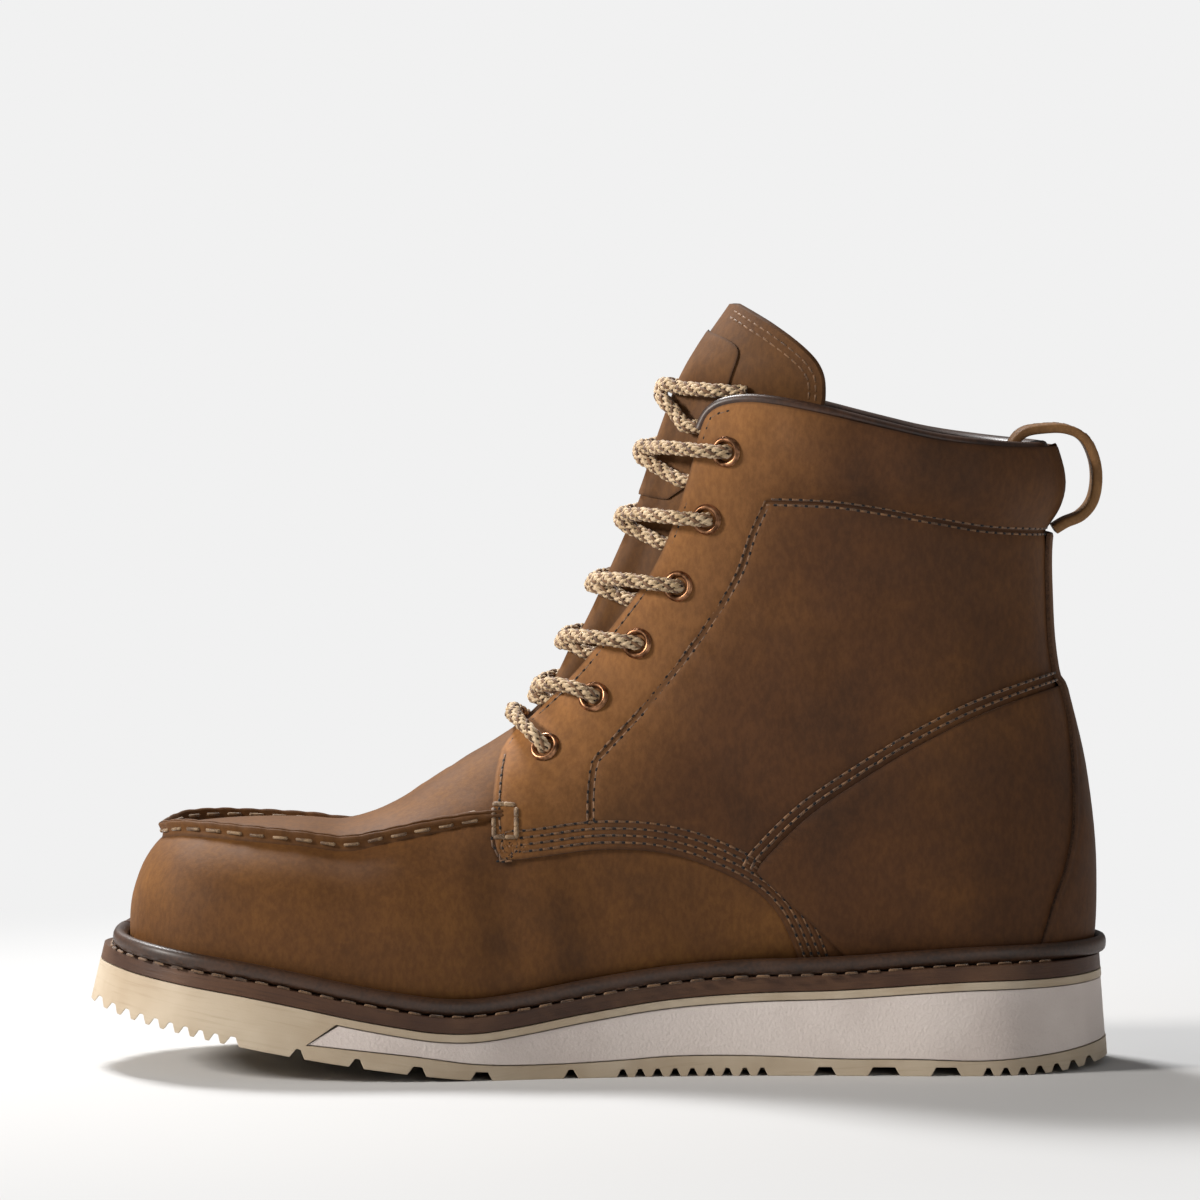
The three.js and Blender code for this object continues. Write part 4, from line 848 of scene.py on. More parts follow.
def carried_frames(path: np.ndarray, closed: bool = False) -> tuple[np.ndarray, np.ndarray, np.ndarray]:
    """Directions along and across a path that turn as little as they can.

    Args:
        path: Points of the path.
        closed: Whether the path is a loop.

    Returns:
        Unit vectors along the path, and two across it.
    """
    if closed:
        along = np.roll(path, -1, axis=0) - np.roll(path, 1, axis=0)
    else:
        along = np.gradient(path, axis=0)
    along = unit(along)
    start = np.array([0.0, 0.0, 1.0]) if abs(along[0][2]) < 0.9 else np.array([0.0, 1.0, 0.0])
    across = np.zeros_like(along)
    current = start
    for i, direction in enumerate(along):
        current = current - direction * current.dot(direction)
        current /= np.linalg.norm(current)
        across[i] = current
    return along, across, np.cross(along, across)


class Graph:
    """A material's or a modifier's node tree, with short ways to add and join nodes."""

    def __init__(self, tree: bpy.types.NodeTree) -> None:
        """Starts from an existing tree and empties it."""
        self.tree = tree
        tree.nodes.clear()

    def node(self, kind: str, inputs: dict | None = None, **settings: object) -> bpy.types.Node:
        """Adds a node.

        Args:
            kind: Node type.
            inputs: Values or sockets for inputs, by name or number.
            **settings: Properties of the node.

        Returns:
            The new node.
        """
        node = self.tree.nodes.new(kind)
        for key, value in settings.items():
            setattr(node, key, value)
        for key, value in (inputs or {}).items():
            if isinstance(value, bpy.types.NodeSocket):
                self.tree.links.new(value, node.inputs[key])
            else:
                node.inputs[key].default_value = value
        return node

    def math(self, operation: str, first: object, second: object = 0.0) -> bpy.types.NodeSocket:
        """Adds a sum, product or other operation on two numbers."""
        return self.node("ShaderNodeMath", {0: first, 1: second}, operation=operation).outputs[0]

    def times(self, first: object, second: object) -> bpy.types.NodeSocket:
        """Multiplies two numbers."""
        return self.math("MULTIPLY", first, second)

    def weighted(self, *terms: tuple[object, float]) -> bpy.types.NodeSocket:
        """Adds up values, each times its weight."""
        total = self.times(*terms[0])
        for value, weight in terms[1:]:
            total = self.math("ADD", total, self.times(value, weight))
        return total

    def stain(
        self, tint: object, value: object, limits: tuple[float, float], amount: float, code: str
    ) -> bpy.types.NodeSocket:
        """Lays a colour over a tint where a value lies between two limits and above."""
        return self.blend(self.times(self.ramp(value, *limits), amount), tint, colour(code))

    def bump(self, strength: float, depth: float, height: object, **inputs: object) -> bpy.types.NodeSocket:
        """Turns a height into small relief of the surface."""
        values = {"Strength": strength, "Distance": depth, "Height": height, **inputs}
        return self.node("ShaderNodeBump", values).outputs[0]

    def rounded(self) -> bpy.types.NodeSocket:
        """Normal that is rounded off at sharp edges."""
        return self.node("ShaderNodeBevel", {"Radius": EDGE_RADIUS}, samples=4).outputs[0]

    def noise(
        self, vector: object, scale: float, detail: float = 3.0, rough: float = 0.5
    ) -> bpy.types.NodeSocket:
        """Adds a noise texture and returns its height."""
        inputs = {"Vector": vector, "Scale": scale, "Detail": detail, "Roughness": rough}
        return self.node("ShaderNodeTexNoise", inputs).outputs[0]

    def blend(self, factor: object, first: object, second: object, mode: str = "MIX") -> bpy.types.NodeSocket:
        """Mixes two colours."""
        node = self.node("ShaderNodeMix", data_type="RGBA", blend_type=mode)
        for socket, value in ((node.inputs[0], factor), (node.inputs[6], first), (node.inputs[7], second)):
            if isinstance(value, bpy.types.NodeSocket):
                self.tree.links.new(value, socket)
            else:
                socket.default_value = value
        return node.outputs[2]

    def ramp(self, value: object, low: float, high: float) -> bpy.types.NodeSocket:
        """Stretches the part of a value between two limits to the range from 0 to 1."""
        inputs = {0: value, 1: low, 2: high, 3: 0.0, 4: 1.0}
        return self.node("ShaderNodeMapRange", inputs, interpolation_type="SMOOTHSTEP").outputs[0]

    def attribute(self, name: str) -> bpy.types.NodeSocket:
        """Reads a number stored on the mesh."""
        return self.node("ShaderNodeAttribute", attribute_name=name).outputs["Fac"]

    def stretched(self, scale: Sequence[float], turn: Sequence[float] = (0, 0, 0)) -> bpy.types.NodeSocket:
        """Object coordinates, scaled and turned."""
        place = self.node("ShaderNodeTexCoord").outputs["Object"]
        inputs = {"Vector": place, "Rotation": turn, "Scale": scale}
        return self.node("ShaderNodeMapping", inputs).outputs[0]


def colour(code: str) -> tuple[float, float, float, float]:
    """Linear colour of a six-digit screen colour."""
    parts = [int(code[i:i + 2], 16) / 255 for i in (0, 2, 4)]
    linear = [p / 12.92 if p <= 0.04045 else ((p + 0.055) / 1.055) ** 2.4 for p in parts]
    return (*linear, 1.0)


def new_material(name: str) -> tuple[bpy.types.Material, Graph]:
    """Makes an empty procedural material."""
    material = bpy.data.materials.new(name)
    material.use_nodes = True
    return material, Graph(material.node_tree)


@dataclass(frozen=True)
class Recipe:
    """A procedural material, whose kinds differ in what feeds the surface shader."""

    name: str

    def surface(self, graph: Graph) -> dict[str, object]:
        """Inputs of the surface shader.

        Args:
            graph: The material's node tree.

        Returns:
            Values and sockets by the shader's input names.
        """
        raise NotImplementedError

    def material(self) -> bpy.types.Material:
        """Builds the material."""
        material, graph = new_material(self.name)
        shader = graph.node("ShaderNodeBsdfPrincipled", self.surface(graph))
        graph.node("ShaderNodeOutputMaterial", {"Surface": shader.outputs[0]})
        return material


@dataclass(frozen=True)
class Nubuck(Recipe):
    """Oiled nubuck: soft nap, mottled tan and darker rubbed areas, and a painted highlight: a lighter tan front
    where the light falls.
    """

    light: str = "805526"
    middle: str = "5c3a1a"
    dark: str = "382110"
    roughness: float = 0.66
    lit_front_paint: float = 0.0

    def painted_lit_front(self, graph: Graph, place: object, mottled: object, tint: object) -> bpy.types.NodeSocket:
        """Paints light: lays a lighter tan tone over the panel's front, which leans back as the eyestay does,
        where the light falls on it.
        """
        spot = graph.node("ShaderNodeSeparateXYZ", {0: place}).outputs
        drift = graph.math("SUBTRACT", spot["X"], graph.times(spot["Z"], 0.5))
        drift = graph.math("ADD", drift, graph.times(mottled, 0.03))
        front = graph.math("SUBTRACT", 1.0, graph.ramp(drift, -0.055, 0.0))
        # The lit colours of the painted highlight, mottled.
        lit_tint = graph.blend(graph.ramp(mottled, 0.3, 0.7), colour("6e4824"), colour("a06c3a"))
        return graph.blend(graph.times(front, self.lit_front_paint), tint, lit_tint)

    def surface(self, graph: Graph) -> dict[str, object]:
        """Inputs of the leather's shader."""
        place = graph.stretched((1, 1, 1))
        broad = graph.noise(place, 17.0, 2.5, 0.45)
        patches = graph.noise(place, 62.0, 4.0, 0.55)
        flecks = graph.noise(graph.stretched((1, 1, 0.55), (0, 0.7, 0)), 620.0, 3.0, 0.65)
        nap = graph.noise(graph.stretched((0.55, 1, 1), (0, -0.5, 0)), 1500.0, 2.0, 0.6)
        pull = graph.noise(graph.stretched((0.35, 1, 1), (0, 0.35, 0)), 130.0, 3.0, 0.6)
        mottled = graph.weighted((broad, 0.62), (patches, 0.38))
        tint = graph.blend(graph.ramp(mottled, 0.22, 0.5), colour(self.dark), colour(self.middle))
        tint = graph.stain(tint, mottled, (0.46, 0.8), 0.8, self.light)
        tint = graph.stain(tint, pull, (0.6, 0.95), 0.4, self.light)
        # Painted highlight: the panel's front is lit in its colour.
        if self.lit_front_paint:
            tint = self.painted_lit_front(graph, place, mottled, tint)
        speck = graph.ramp(flecks, 0.3, 0.72)
        grey = graph.node("ShaderNodeCombineColor", {0: speck, 1: speck, 2: speck}).outputs[0]
        tint = graph.blend(0.17, tint, grey, "SOFT_LIGHT")
        height = graph.weighted((flecks, 0.55), (nap, 0.45), (pull, 0.6))
        return {
            # Darkens towards 2c1a0e by the 'edge' number: the cut edges' own dye, and painted shade in the
            # stitch grooves and at the moc ridge's foot.
            "Base Color": graph.blend(graph.times(graph.attribute("edge"), 0.62), tint, colour("2c1a0e")),
            "Roughness": graph.math("ADD", self.roughness - 0.08, graph.times(patches, 0.2)),
            "Specular IOR Level": 0.22,
            "Sheen Weight": 0.05,
            "Sheen Roughness": 0.45,
            "Sheen Tint": colour("d9a878"),
            "Normal": graph.bump(0.42, 0.00022, height),
        }


@dataclass(frozen=True)
class SmoothLeather(Recipe):
    """Smooth or semi-gloss leather with fine pores, also for linings and raw cut edges."""

    light: str
    dark: str
    roughness: float
    coat: float = 0.0
    grain: float = 800.0
    depth: float = 0.0001

    def surface(self, graph: Graph) -> dict[str, object]:
        """Inputs of the leather's shader."""
        place = graph.stretched((1, 1, 1))
        broad = graph.noise(place, 55.0, 4.0, 0.6)
        pores = graph.noise(place, self.grain, 4.0, 0.6)
        mottled = graph.weighted((broad, 0.5), (pores, 0.5))
        tint = graph.blend(graph.ramp(mottled, 0.34, 0.66), colour(self.dark), colour(self.light))
        return {
            "Base Color": graph.blend(graph.times(graph.attribute("edge"), 0.6), tint, colour("1b100a")),
            "Roughness": graph.math("ADD", self.roughness - 0.06, graph.times(broad, 0.14)),
            "Coat Weight": self.coat,
            "Coat Roughness": 0.3,
            "Specular IOR Level": 0.45,
            "Normal": graph.bump(0.6, self.depth, pores),
        }


@dataclass(frozen=True)
class StreakedRubber(Recipe):
    """Moulded rubber or a cut leather edge with fine streaks that follow the line of the sole."""

    light: str
    dark: str
    streak: str
    roughness: float
    streak_amount: float
    fineness: float
    depth: float
    speckle: float

    def surface(self, graph: Graph) -> dict[str, object]:
        """Inputs of the rubber's shader."""
        place = graph.node("ShaderNodeTexCoord").outputs["Object"]
        spot = graph.node("ShaderNodeSeparateXYZ", {0: place}).outputs
        run = {0: graph.times(spot[0], 0.045), 1: graph.times(spot[1], 0.045), 2: graph.attribute("level")}
        flat = graph.node("ShaderNodeCombineXYZ", run).outputs[0]
        streaks = graph.noise(flat, self.fineness, 5.0, 0.62)
        wide = graph.noise(flat, self.fineness / 5, 3.0, 0.5)
        broad = graph.noise(place, 40.0, 3.0, 0.5)
        grains = graph.noise(place, 1900.0, 2.0, 0.6)
        tint = graph.blend(graph.ramp(broad, 0.35, 0.68), colour(self.dark), colour(self.light))
        tint = graph.stain(tint, streaks, (0.5, 0.74), self.streak_amount, self.streak)
        tint = graph.stain(tint, wide, (0.52, 0.8), 0.3, self.streak)
        height = graph.weighted((streaks, 0.8), (grains, 0.35))
        return {
            "Base Color": graph.stain(tint, grains, (0.5, 0.8), self.speckle, self.dark),
            "Roughness": self.roughness,
            "Specular IOR Level": 0.35,
            "Normal": graph.bump(0.7, self.depth, height, Normal=graph.rounded()),
        }


@dataclass(frozen=True)
class StippledFoam(Recipe):
    """Off-white wedge foam with a fine stippled skin."""

    light: str = "ddd2cb"
    dark: str = "d0c4bd"

    def surface(self, graph: Graph) -> dict[str, object]:
        """Inputs of the foam's shader."""
        place = graph.stretched((1, 1, 1))
        stipple = graph.noise(place, 1500.0, 3.0, 0.7)
        cells = graph.node("ShaderNodeTexVoronoi", {"Vector": place, "Scale": 900.0}).outputs[0]
        broad = graph.noise(place, 30.0, 3.0, 0.5)
        tint = graph.blend(graph.ramp(broad, 0.35, 0.65), colour(self.dark), colour(self.light))
        height = graph.math("ADD", stipple, graph.times(cells, 0.6))
        return {
            "Base Color": graph.stain(tint, stipple, (0.55, 0.8), 0.3, "b9a9a2"),
            "Roughness": 0.82,
            "Specular IOR Level": 0.25,
            "Normal": graph.bump(0.7, 0.00016, height, Normal=graph.rounded()),
        }


@dataclass(frozen=True)
class Thread(Recipe):
    """Waxed or woven thread, with fine twisted fibres."""

    light: str
    dark: str
    roughness: float = 0.6
    grain: float = 2600.0

    def surface(self, graph: Graph) -> dict[str, object]:
        """Inputs of the thread's shader."""
        fibres = graph.noise(graph.stretched((1, 1, 0.5), (0.6, 0.5, 0)), self.grain, 3.0, 0.6)
        broad = graph.noise(graph.stretched((1, 1, 1)), 240.0, 2.0, 0.5)
        mottled = graph.weighted((fibres, 0.5), (broad, 0.5))
        return {
            "Base Color": graph.blend(graph.ramp(mottled, 0.38, 0.6), colour(self.dark), colour(self.light)),
            "Roughness": self.roughness,
            "Sheen Weight": 0.25,
            "Sheen Roughness": 0.4,
            "Normal": graph.bump(0.6, 0.00008, fibres),
        }


@dataclass(frozen=True)
class AntiqueMetal(Recipe):
    """Antique copper plating with stains and fine scuffs."""

    light: str = "b98763"
    dark: str = "5e3f2a"

    def surface(self, graph: Graph) -> dict[str, object]:
        """Inputs of the metal's shader."""
        place = graph.stretched((1, 1, 1))
        stains = graph.noise(place, 330.0, 4.0, 0.6)
        scuffs = graph.noise(place, 2200.0, 3.0, 0.6)
        return {
            "Base Color": graph.blend(graph.ramp(stains, 0.36, 0.64), colour(self.dark), colour(self.light)),
            "Metallic": 0.92,
            "Roughness": graph.math("ADD", 0.24, graph.times(stains, 0.22)),
            "Normal": graph.bump(0.25, 0.00004, scuffs),
        }


class Finishes:
    """Every material of the boot, made once and handed to the sub-assemblies by name."""

    def __init__(self) -> None:
        """Builds the materials."""
        recipes = (
            Nubuck("nubuck"),
            # The overlays carry painted light: a lighter tan tone on their front.
            Nubuck("nubuck_overlay", light="6a4420", middle="4c2e16", dark="2f1c0e", lit_front_paint=0.85),
            Nubuck("nubuck_tongue", light="7a5228", middle="59391b", dark="382213"),
            Nubuck("nubuck_loop", light="8f6a42", middle="765432", dark="513620"),
            SmoothLeather("raw_edge", "80593a", "3d2615", 0.85, grain=1500.0, depth=0.0003),
            SmoothLeather("binding_leather", "452a19", "28170d", 0.46, coat=0.12, grain=700.0),
            SmoothLeather("welt_leather", "452c1b", "291a10", 0.5, coat=0.1, grain=900.0),
            SmoothLeather("lining_leather", "54392a", "38241a", 0.62, grain=500.0),
            SmoothLeather("footbed_leather", "6f5138", "543a27", 0.7, grain=420.0),
            StreakedRubber("midsole_edge", "5a3d28", "42291a", "2b1a10", 0.55, 0.55, 1500.0, 0.0002, 0.25),
            StreakedRubber("cream_rubber", "bfb09a", "b09e86", "927e64", 0.6, 0.32, 900.0, 0.00012, 0.12),
            StippledFoam("wedge_foam"),
            Thread("seam_thread", "7a5532", "4a321d", 0.6),
            Thread("heavy_thread", "94795a", "58412c", 0.6),
            Thread("welt_thread", "7a5c3f", "402c1c", 0.65),
            # Painted shade: near-black marks for the shadow in each needle hole.
            Thread("hole_shadow_paint", "140b06", "0c0603", 0.9),
            Thread("lace_light", "cdb492", "a88d68", 0.7, 3200.0),
            Thread("lace_brown", "7d5b3c", "523823", 0.7, 3200.0),
            # Painted shade: the dark core shows only in the gaps between the lace's strands.
            Thread("lace_gap_shade", "4a2f1b", "2b190d", 0.8),
            AntiqueMetal("antique_copper"),
        )
        self.table = {recipe.name: recipe.material() for recipe in recipes}

    def dress(self, piece: bpy.types.Object, *names: str) -> None:
        """Gives a piece its materials, in the order of its material numbers."""
        piece.data.materials.clear()
        for name in names:
            piece.data.materials.append(self.table[name])


def settle(piece: bpy.types.Object, nodes: Sequence[str] = ()) -> None:
    """Hands a finished piece to the frame.

    Args:
        piece: The piece, with its mesh final.
        nodes: CAD nodes that it stands for.
    """
    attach(piece, BODY)
    if nodes:
        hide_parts(*nodes)
    LOG.info("%s: %d faces", piece.name, len(piece.data.polygons))


@dataclass(frozen=True)
class Groove:
    """A furrow pressed into a panel along a line, such as under a row of stitches."""

    line: Line
    depth: float = 0.3
    reach: float = 1.1


@dataclass
class Panel:
    """A piece of leather cut to an outline and laid over the last."""

    last: Last
    name: str
    outline: Line
    lift: float | LiftRule
    thickness: float = 1.2
    grooves: Sequence[Groove] = ()
    wrapped: bool = False
    edge_drop: float = 0.3
    edge_step: float = 1.3
    both_sides: bool = False
    relief: LiftRule | None = None
    under: LiftRule | None = None

    def chart(self, place: Line) -> np.ndarray:
        """Flat coordinates in which the panel is cut into triangles, close to true lengths."""
        lengths, around = self.last.charts()
        place = np.atleast_2d(place)
        angle = np.abs(place[:, 1] - (math.pi if self.wrapped else 0.0))
        if self.wrapped:
            angle = math.pi - angle
        column = np.clip(np.abs(angle), 0, math.pi) / math.pi * (around.shape[1] - 1)
        row = np.clip(place[:, 0], 0, self.last.end) / self.last.end * (around.shape[0] - 1)
        i = np.minimum(row.astype(int), around.shape[0] - 2)
        j = np.minimum(column.astype(int), around.shape[1] - 2)
        s, t = row - i, column - j
        low = around[i, j] * (1 - t) + around[i, j + 1] * t
        high = around[i + 1, j] * (1 - t) + around[i + 1, j + 1] * t
        reach = low * (1 - s) + high * s
        if self.wrapped:
            total = around[i, -1] * (1 - s) + around[i + 1, -1] * s
            y = (total - reach) * np.sign(place[:, 1] - math.pi)
        else:
            y = reach * np.sign(place[:, 1])
        x = np.interp(place[:, 0], np.linspace(0, self.last.end, len(lengths)), lengths)
        return np.column_stack([x, y])

    def base_lift(self, place: Line) -> np.ndarray:
        """Height of the panel's face over the last, before grooves and edges."""
        points = self.last.bare(place)[0]
        base = self.lift(points) if callable(self.lift) else np.full(len(points), float(self.lift))
        return base + (self.relief(points) if self.relief else 0.0)

    def loop(self) -> Line:
        """The closed outline at even steps."""
        closed = np.vstack([self.outline, self.outline[:1]])
        return self.last.even(closed, self.edge_step)[:-1]

    def build(self, finishes: Finishes, *materials: str) -> bpy.types.Object:
        """Cuts the panel and makes its mesh.

        Args:
            finishes: The materials.
            *materials: Names for the face and the cut edge, and for the back where it shows.

        Returns:
            The panel's object.
        """
        loop = self.loop()
        ring = self.chart(loop)
        inner = [self.last.moved(np.vstack([loop, loop[:1]]), sign * ROLLED_EDGE)[:-1] for sign in (1, -1)]
        shares = [inside(self.chart(line), ring).mean() for line in inner]
        rolled = inner[0] if shares[0] > shares[1] else inner[1]
        rolled = rolled[inside(self.chart(rolled), ring)]
        places, drops = [loop, rolled], [np.full(len(loop), self.edge_drop), np.zeros(len(rolled))]
        edges = [(i, (i + 1) % len(loop)) for i in range(len(loop))]
        count = len(loop) + len(rolled)
        for groove in self.grooves:
            line = self.last.even(groove.line, 1.2)
            for shift, depth in ((0.0, groove.depth), (groove.reach, 0.0), (-groove.reach, 0.0)):
                beside = self.last.moved(line, shift) if shift else line
                kept = inside(self.chart(beside), ring)
                numbers = np.cumsum(kept) - 1 + count
                places.append(beside[kept])
                drops.append(np.full(int(kept.sum()), depth))
                joined = kept[:-1] & kept[1:]
                edges += [(int(numbers[i]), int(numbers[i]) + 1) for i in np.nonzero(joined)[0]]
                count += int(kept.sum())
        fixed = np.vstack(places)
        drop = np.concatenate(drops)
        cloud = self.last.cloud[:, :2].copy()
        if self.wrapped:
            cloud[cloud[:, 1] < 0, 1] += 2 * math.pi
        keep = inside(self.chart(cloud), ring)
        cloud, spots = cloud[keep], self.last.cloud[keep, 2:]
        tree = kdtree.KDTree(len(fixed))
        for i, point in enumerate(self.last.bare(fixed)[0]):
            tree.insert(point, i)
        tree.balance()
        clear = np.array([tree.find(point)[2] > CLEAR_OF_LINES for point in spots], bool) if len(spots) else []
        cloud = cloud[clear]
        every = np.vstack([fixed, cloud])
        drop = np.concatenate([drop, np.zeros(len(cloud))])
        flat = self.chart(every)
        result = delaunay_2d_cdt([Vector(p) for p in flat], edges, [], 0, 1e-6, True)
        out, triangles, origins = result[0], result[2], result[3]
        source = np.array([origin[0] if origin else -1 for origin in origins])
        flat_out = np.array([(v.x, v.y) for v in out])
        place_out = np.where(source[:, None] >= 0, every[source], 0)
        lost = np.nonzero(source < 0)[0]
        for i in lost:
            nearest = int(np.argmin(np.sum((flat - flat_out[i]) ** 2, axis=1)))
            place_out[i] = every[nearest]
        drop_out = np.where(source >= 0, drop[source], 0.0)
        centres = np.array([flat_out[list(t)].mean(axis=0) for t in triangles])
        kept = inside(centres, ring)
        triangles = [tuple(t) for t, ok in zip(triangles, kept) if ok]
        place_of = {origin: i for i, merged in enumerate(origins) for origin in merged}
        border = [place_of[i] for i in range(len(loop))]
        return self.mesh(place_out, drop_out, triangles, border, finishes, materials)

    def mesh(
        self,
        places: Line,
        drops: np.ndarray,
        triangles: list[tuple[int, ...]],
        border: list[int],
        finishes: Finishes,
        materials: Sequence[str],
    ) -> bpy.types.Object:
        """Lifts the flat triangles onto the last and adds the cut edge and, if it shows, the back.

        Args:
            places: Rows of t and angle of the corners.
            drops: How far each corner lies under the panel's face.
            triangles: Corner indices.
            border: Corners along the outline, in order.
            finishes: The materials.
            materials: Their names.

        Returns:
            The panel's object.
        """
        lift = self.base_lift(places)
        bare, normals = self.last.bare(places)[0], self.last.normal(places)
        top = bare + normals * (lift - drops)[:, None]
        corners = np.array(triangles)
        facing = np.cross(top[corners[:, 1]] - top[corners[:, 0]], top[corners[:, 2]] - top[corners[:, 0]])
        wrong = np.sum(facing * normals[corners].sum(axis=1), axis=1) < 0
        corners[wrong] = corners[wrong][:, ::-1]
        faces = [tuple(t) for t in corners.tolist()]
        numbers = [0] * len(faces)
        count = len(top)
        under = self.under(bare) if self.under else lift - self.thickness
        if self.both_sides:
            points = np.vstack([top, bare + normals * under[:, None]])
            faces += [tuple(count + i for i in t[::-1]) for t in corners.tolist()]
            numbers += [len(materials) - 1] * len(corners)
            lower = [count + i for i in border]
        else:
            points = np.vstack([top, (bare + normals * under[:, None])[border]])
            lower = list(range(count, count + len(border)))
        directed = {pair for a, b, c in corners.tolist() for pair in ((a, b), (b, c), (c, a))}
        for k, a in enumerate(border):
            b = border[(k + 1) % len(border)]
            c, d = lower[(k + 1) % len(border)], lower[k]
            faces.append((b, a, d, c) if (a, b) in directed else (a, b, c, d))
            numbers.append(1 if len(materials) > 1 else 0)
        piece = make_object(self.name, points, faces)
        # The 'edge' number darkens the colour: on the cut edge's corners it is the edge's own dye, in the
        # stitch grooves it is painted shade.
        edge = np.zeros(len(points))
        edge[border] = 0.8
        edge[len(top):] = 1.0 if not self.both_sides else 0.0
        # Painted shade: the deeper a groove, the darker its colour.
        edge[: len(top)] = np.maximum(edge[: len(top)], np.clip(drops / 0.5, 0, 1) * 0.8)
        set_attribute(piece, "edge", edge)
        finishes.dress(piece, *materials)
        if len(piece.data.polygons) == len(numbers):
            piece.data.polygons.foreach_set("material_index", numbers)
        smooth_shade(piece, 42.0)
        return piece


def crease_relief(points: np.ndarray) -> np.ndarray:
    """Soft creases of the leather, placed one by one from the table.

    Args:
        points: Points of the last's surface.

    Returns:
        Depth of the creases at each point, negative inwards.
    """
    depth = np.zeros(len(points))
    far = points[:, 1] > 0
    seen = points[:, [0, 2]] + np.where(far[:, None], [[5.0, -3.0]], [[0.0, 0.0]])
    for x0, z0, x1, z1, reach, deep in CREASES:
        start, run = np.array([x0, z0], float), np.array([x1 - x0, z1 - z0], float)
        share = np.clip(((seen - start) @ run) / (run @ run), 0, 1)
        gap = np.linalg.norm(seen - start - share[:, None] * run, axis=1)
        trough = np.exp(-(gap / reach) ** 2) - 0.45 * np.exp(-((gap - 2 * reach) / reach) ** 2)
        depth -= deep * trough
    return depth


def stitch_group() -> bpy.types.NodeTree:
    """Node group that lays one bent, round-ended thread on each point, along its stored direction."""
    tree = bpy.data.node_groups.new("thread_on_points", "GeometryNodeTree")
    face = tree.interface
    face.new_socket("Geometry", in_out="INPUT", socket_type="NodeSocketGeometry")
    for name, value in (("Length", 0.003), ("Width", 0.0008), ("Height", 0.0006), ("Bend", 0.0003)):
        socket = face.new_socket(name, in_out="INPUT", socket_type="NodeSocketFloat")
        socket.default_value = value
    face.new_socket("Seed", in_out="INPUT", socket_type="NodeSocketInt")
    face.new_socket("Material", in_out="INPUT", socket_type="NodeSocketMaterial")
    face.new_socket("Geometry", in_out="OUTPUT", socket_type="NodeSocketGeometry")
    graph = Graph(tree)
    start = graph.node("NodeGroupInput").outputs
    ball = graph.node("GeometryNodeMeshUVSphere", {"Segments": 8, "Rings": 8, "Radius": 0.5})
    turned = graph.node("GeometryNodeTransform", {"Geometry": ball.outputs[0], "Rotation": (0, math.pi / 2, 0)})
    place = graph.node("ShaderNodeSeparateXYZ", {0: graph.node("GeometryNodeInputPosition").outputs[0]}).outputs
    core = graph.math("SUBTRACT", start["Length"], start["Width"])
    apart = graph.times(graph.times(graph.math("SIGN", place[0]), core), 0.5)
    x = graph.math("ADD", graph.times(place[0], start["Width"]), apart)
    share = graph.math("DIVIDE", x, graph.times(start["Length"], 0.5))
    sag = graph.times(graph.times(share, share), start["Bend"])
    z = graph.math("SUBTRACT", graph.times(place[2], start["Height"]), sag)
    spot = graph.node("ShaderNodeCombineXYZ", {0: x, 1: graph.times(place[1], start["Width"]), 2: z})
    thread = graph.node("GeometryNodeSetPosition", {"Geometry": turned.outputs[0], "Position": spot.outputs[0]})
    along, up = (
        graph.node("GeometryNodeInputNamedAttribute", {"Name": name}, data_type="FLOAT_VECTOR").outputs[0]
        for name in ("along", "up")
    )
    rotation = graph.node("FunctionNodeAxesToRotation", {"Primary Axis": along, "Secondary Axis": up},
                          primary_axis="X", secondary_axis="Z").outputs[0]
    size = graph.node("FunctionNodeRandomValue", {2: 0.92, 3: 1.06, "Seed": start["Seed"]}, data_type="FLOAT")
    copies = graph.node("GeometryNodeInstanceOnPoints", {
        "Points": start["Geometry"],
        "Instance": thread.outputs[0],
        "Rotation": rotation,
        "Scale": size.outputs[1],
    })
    real = graph.node("GeometryNodeRealizeInstances", {"Geometry": copies.outputs[0]})
    smooth = graph.node("GeometryNodeSetShadeSmooth", {"Geometry": real.outputs[0]})
    inputs = {"Geometry": smooth.outputs[0], "Material": start["Material"]}
    dressed = graph.node("GeometryNodeSetMaterial", inputs)
    graph.node("NodeGroupOutput", {"Geometry": dressed.outputs[0]})
    return tree


@dataclass(frozen=True)
class ThreadSize:
    """Size of one stitch of a seam, in millimetres."""

    length: float = 2.5
    width: float = 0.75
    height: float = 0.6
    bend: float = 0.25


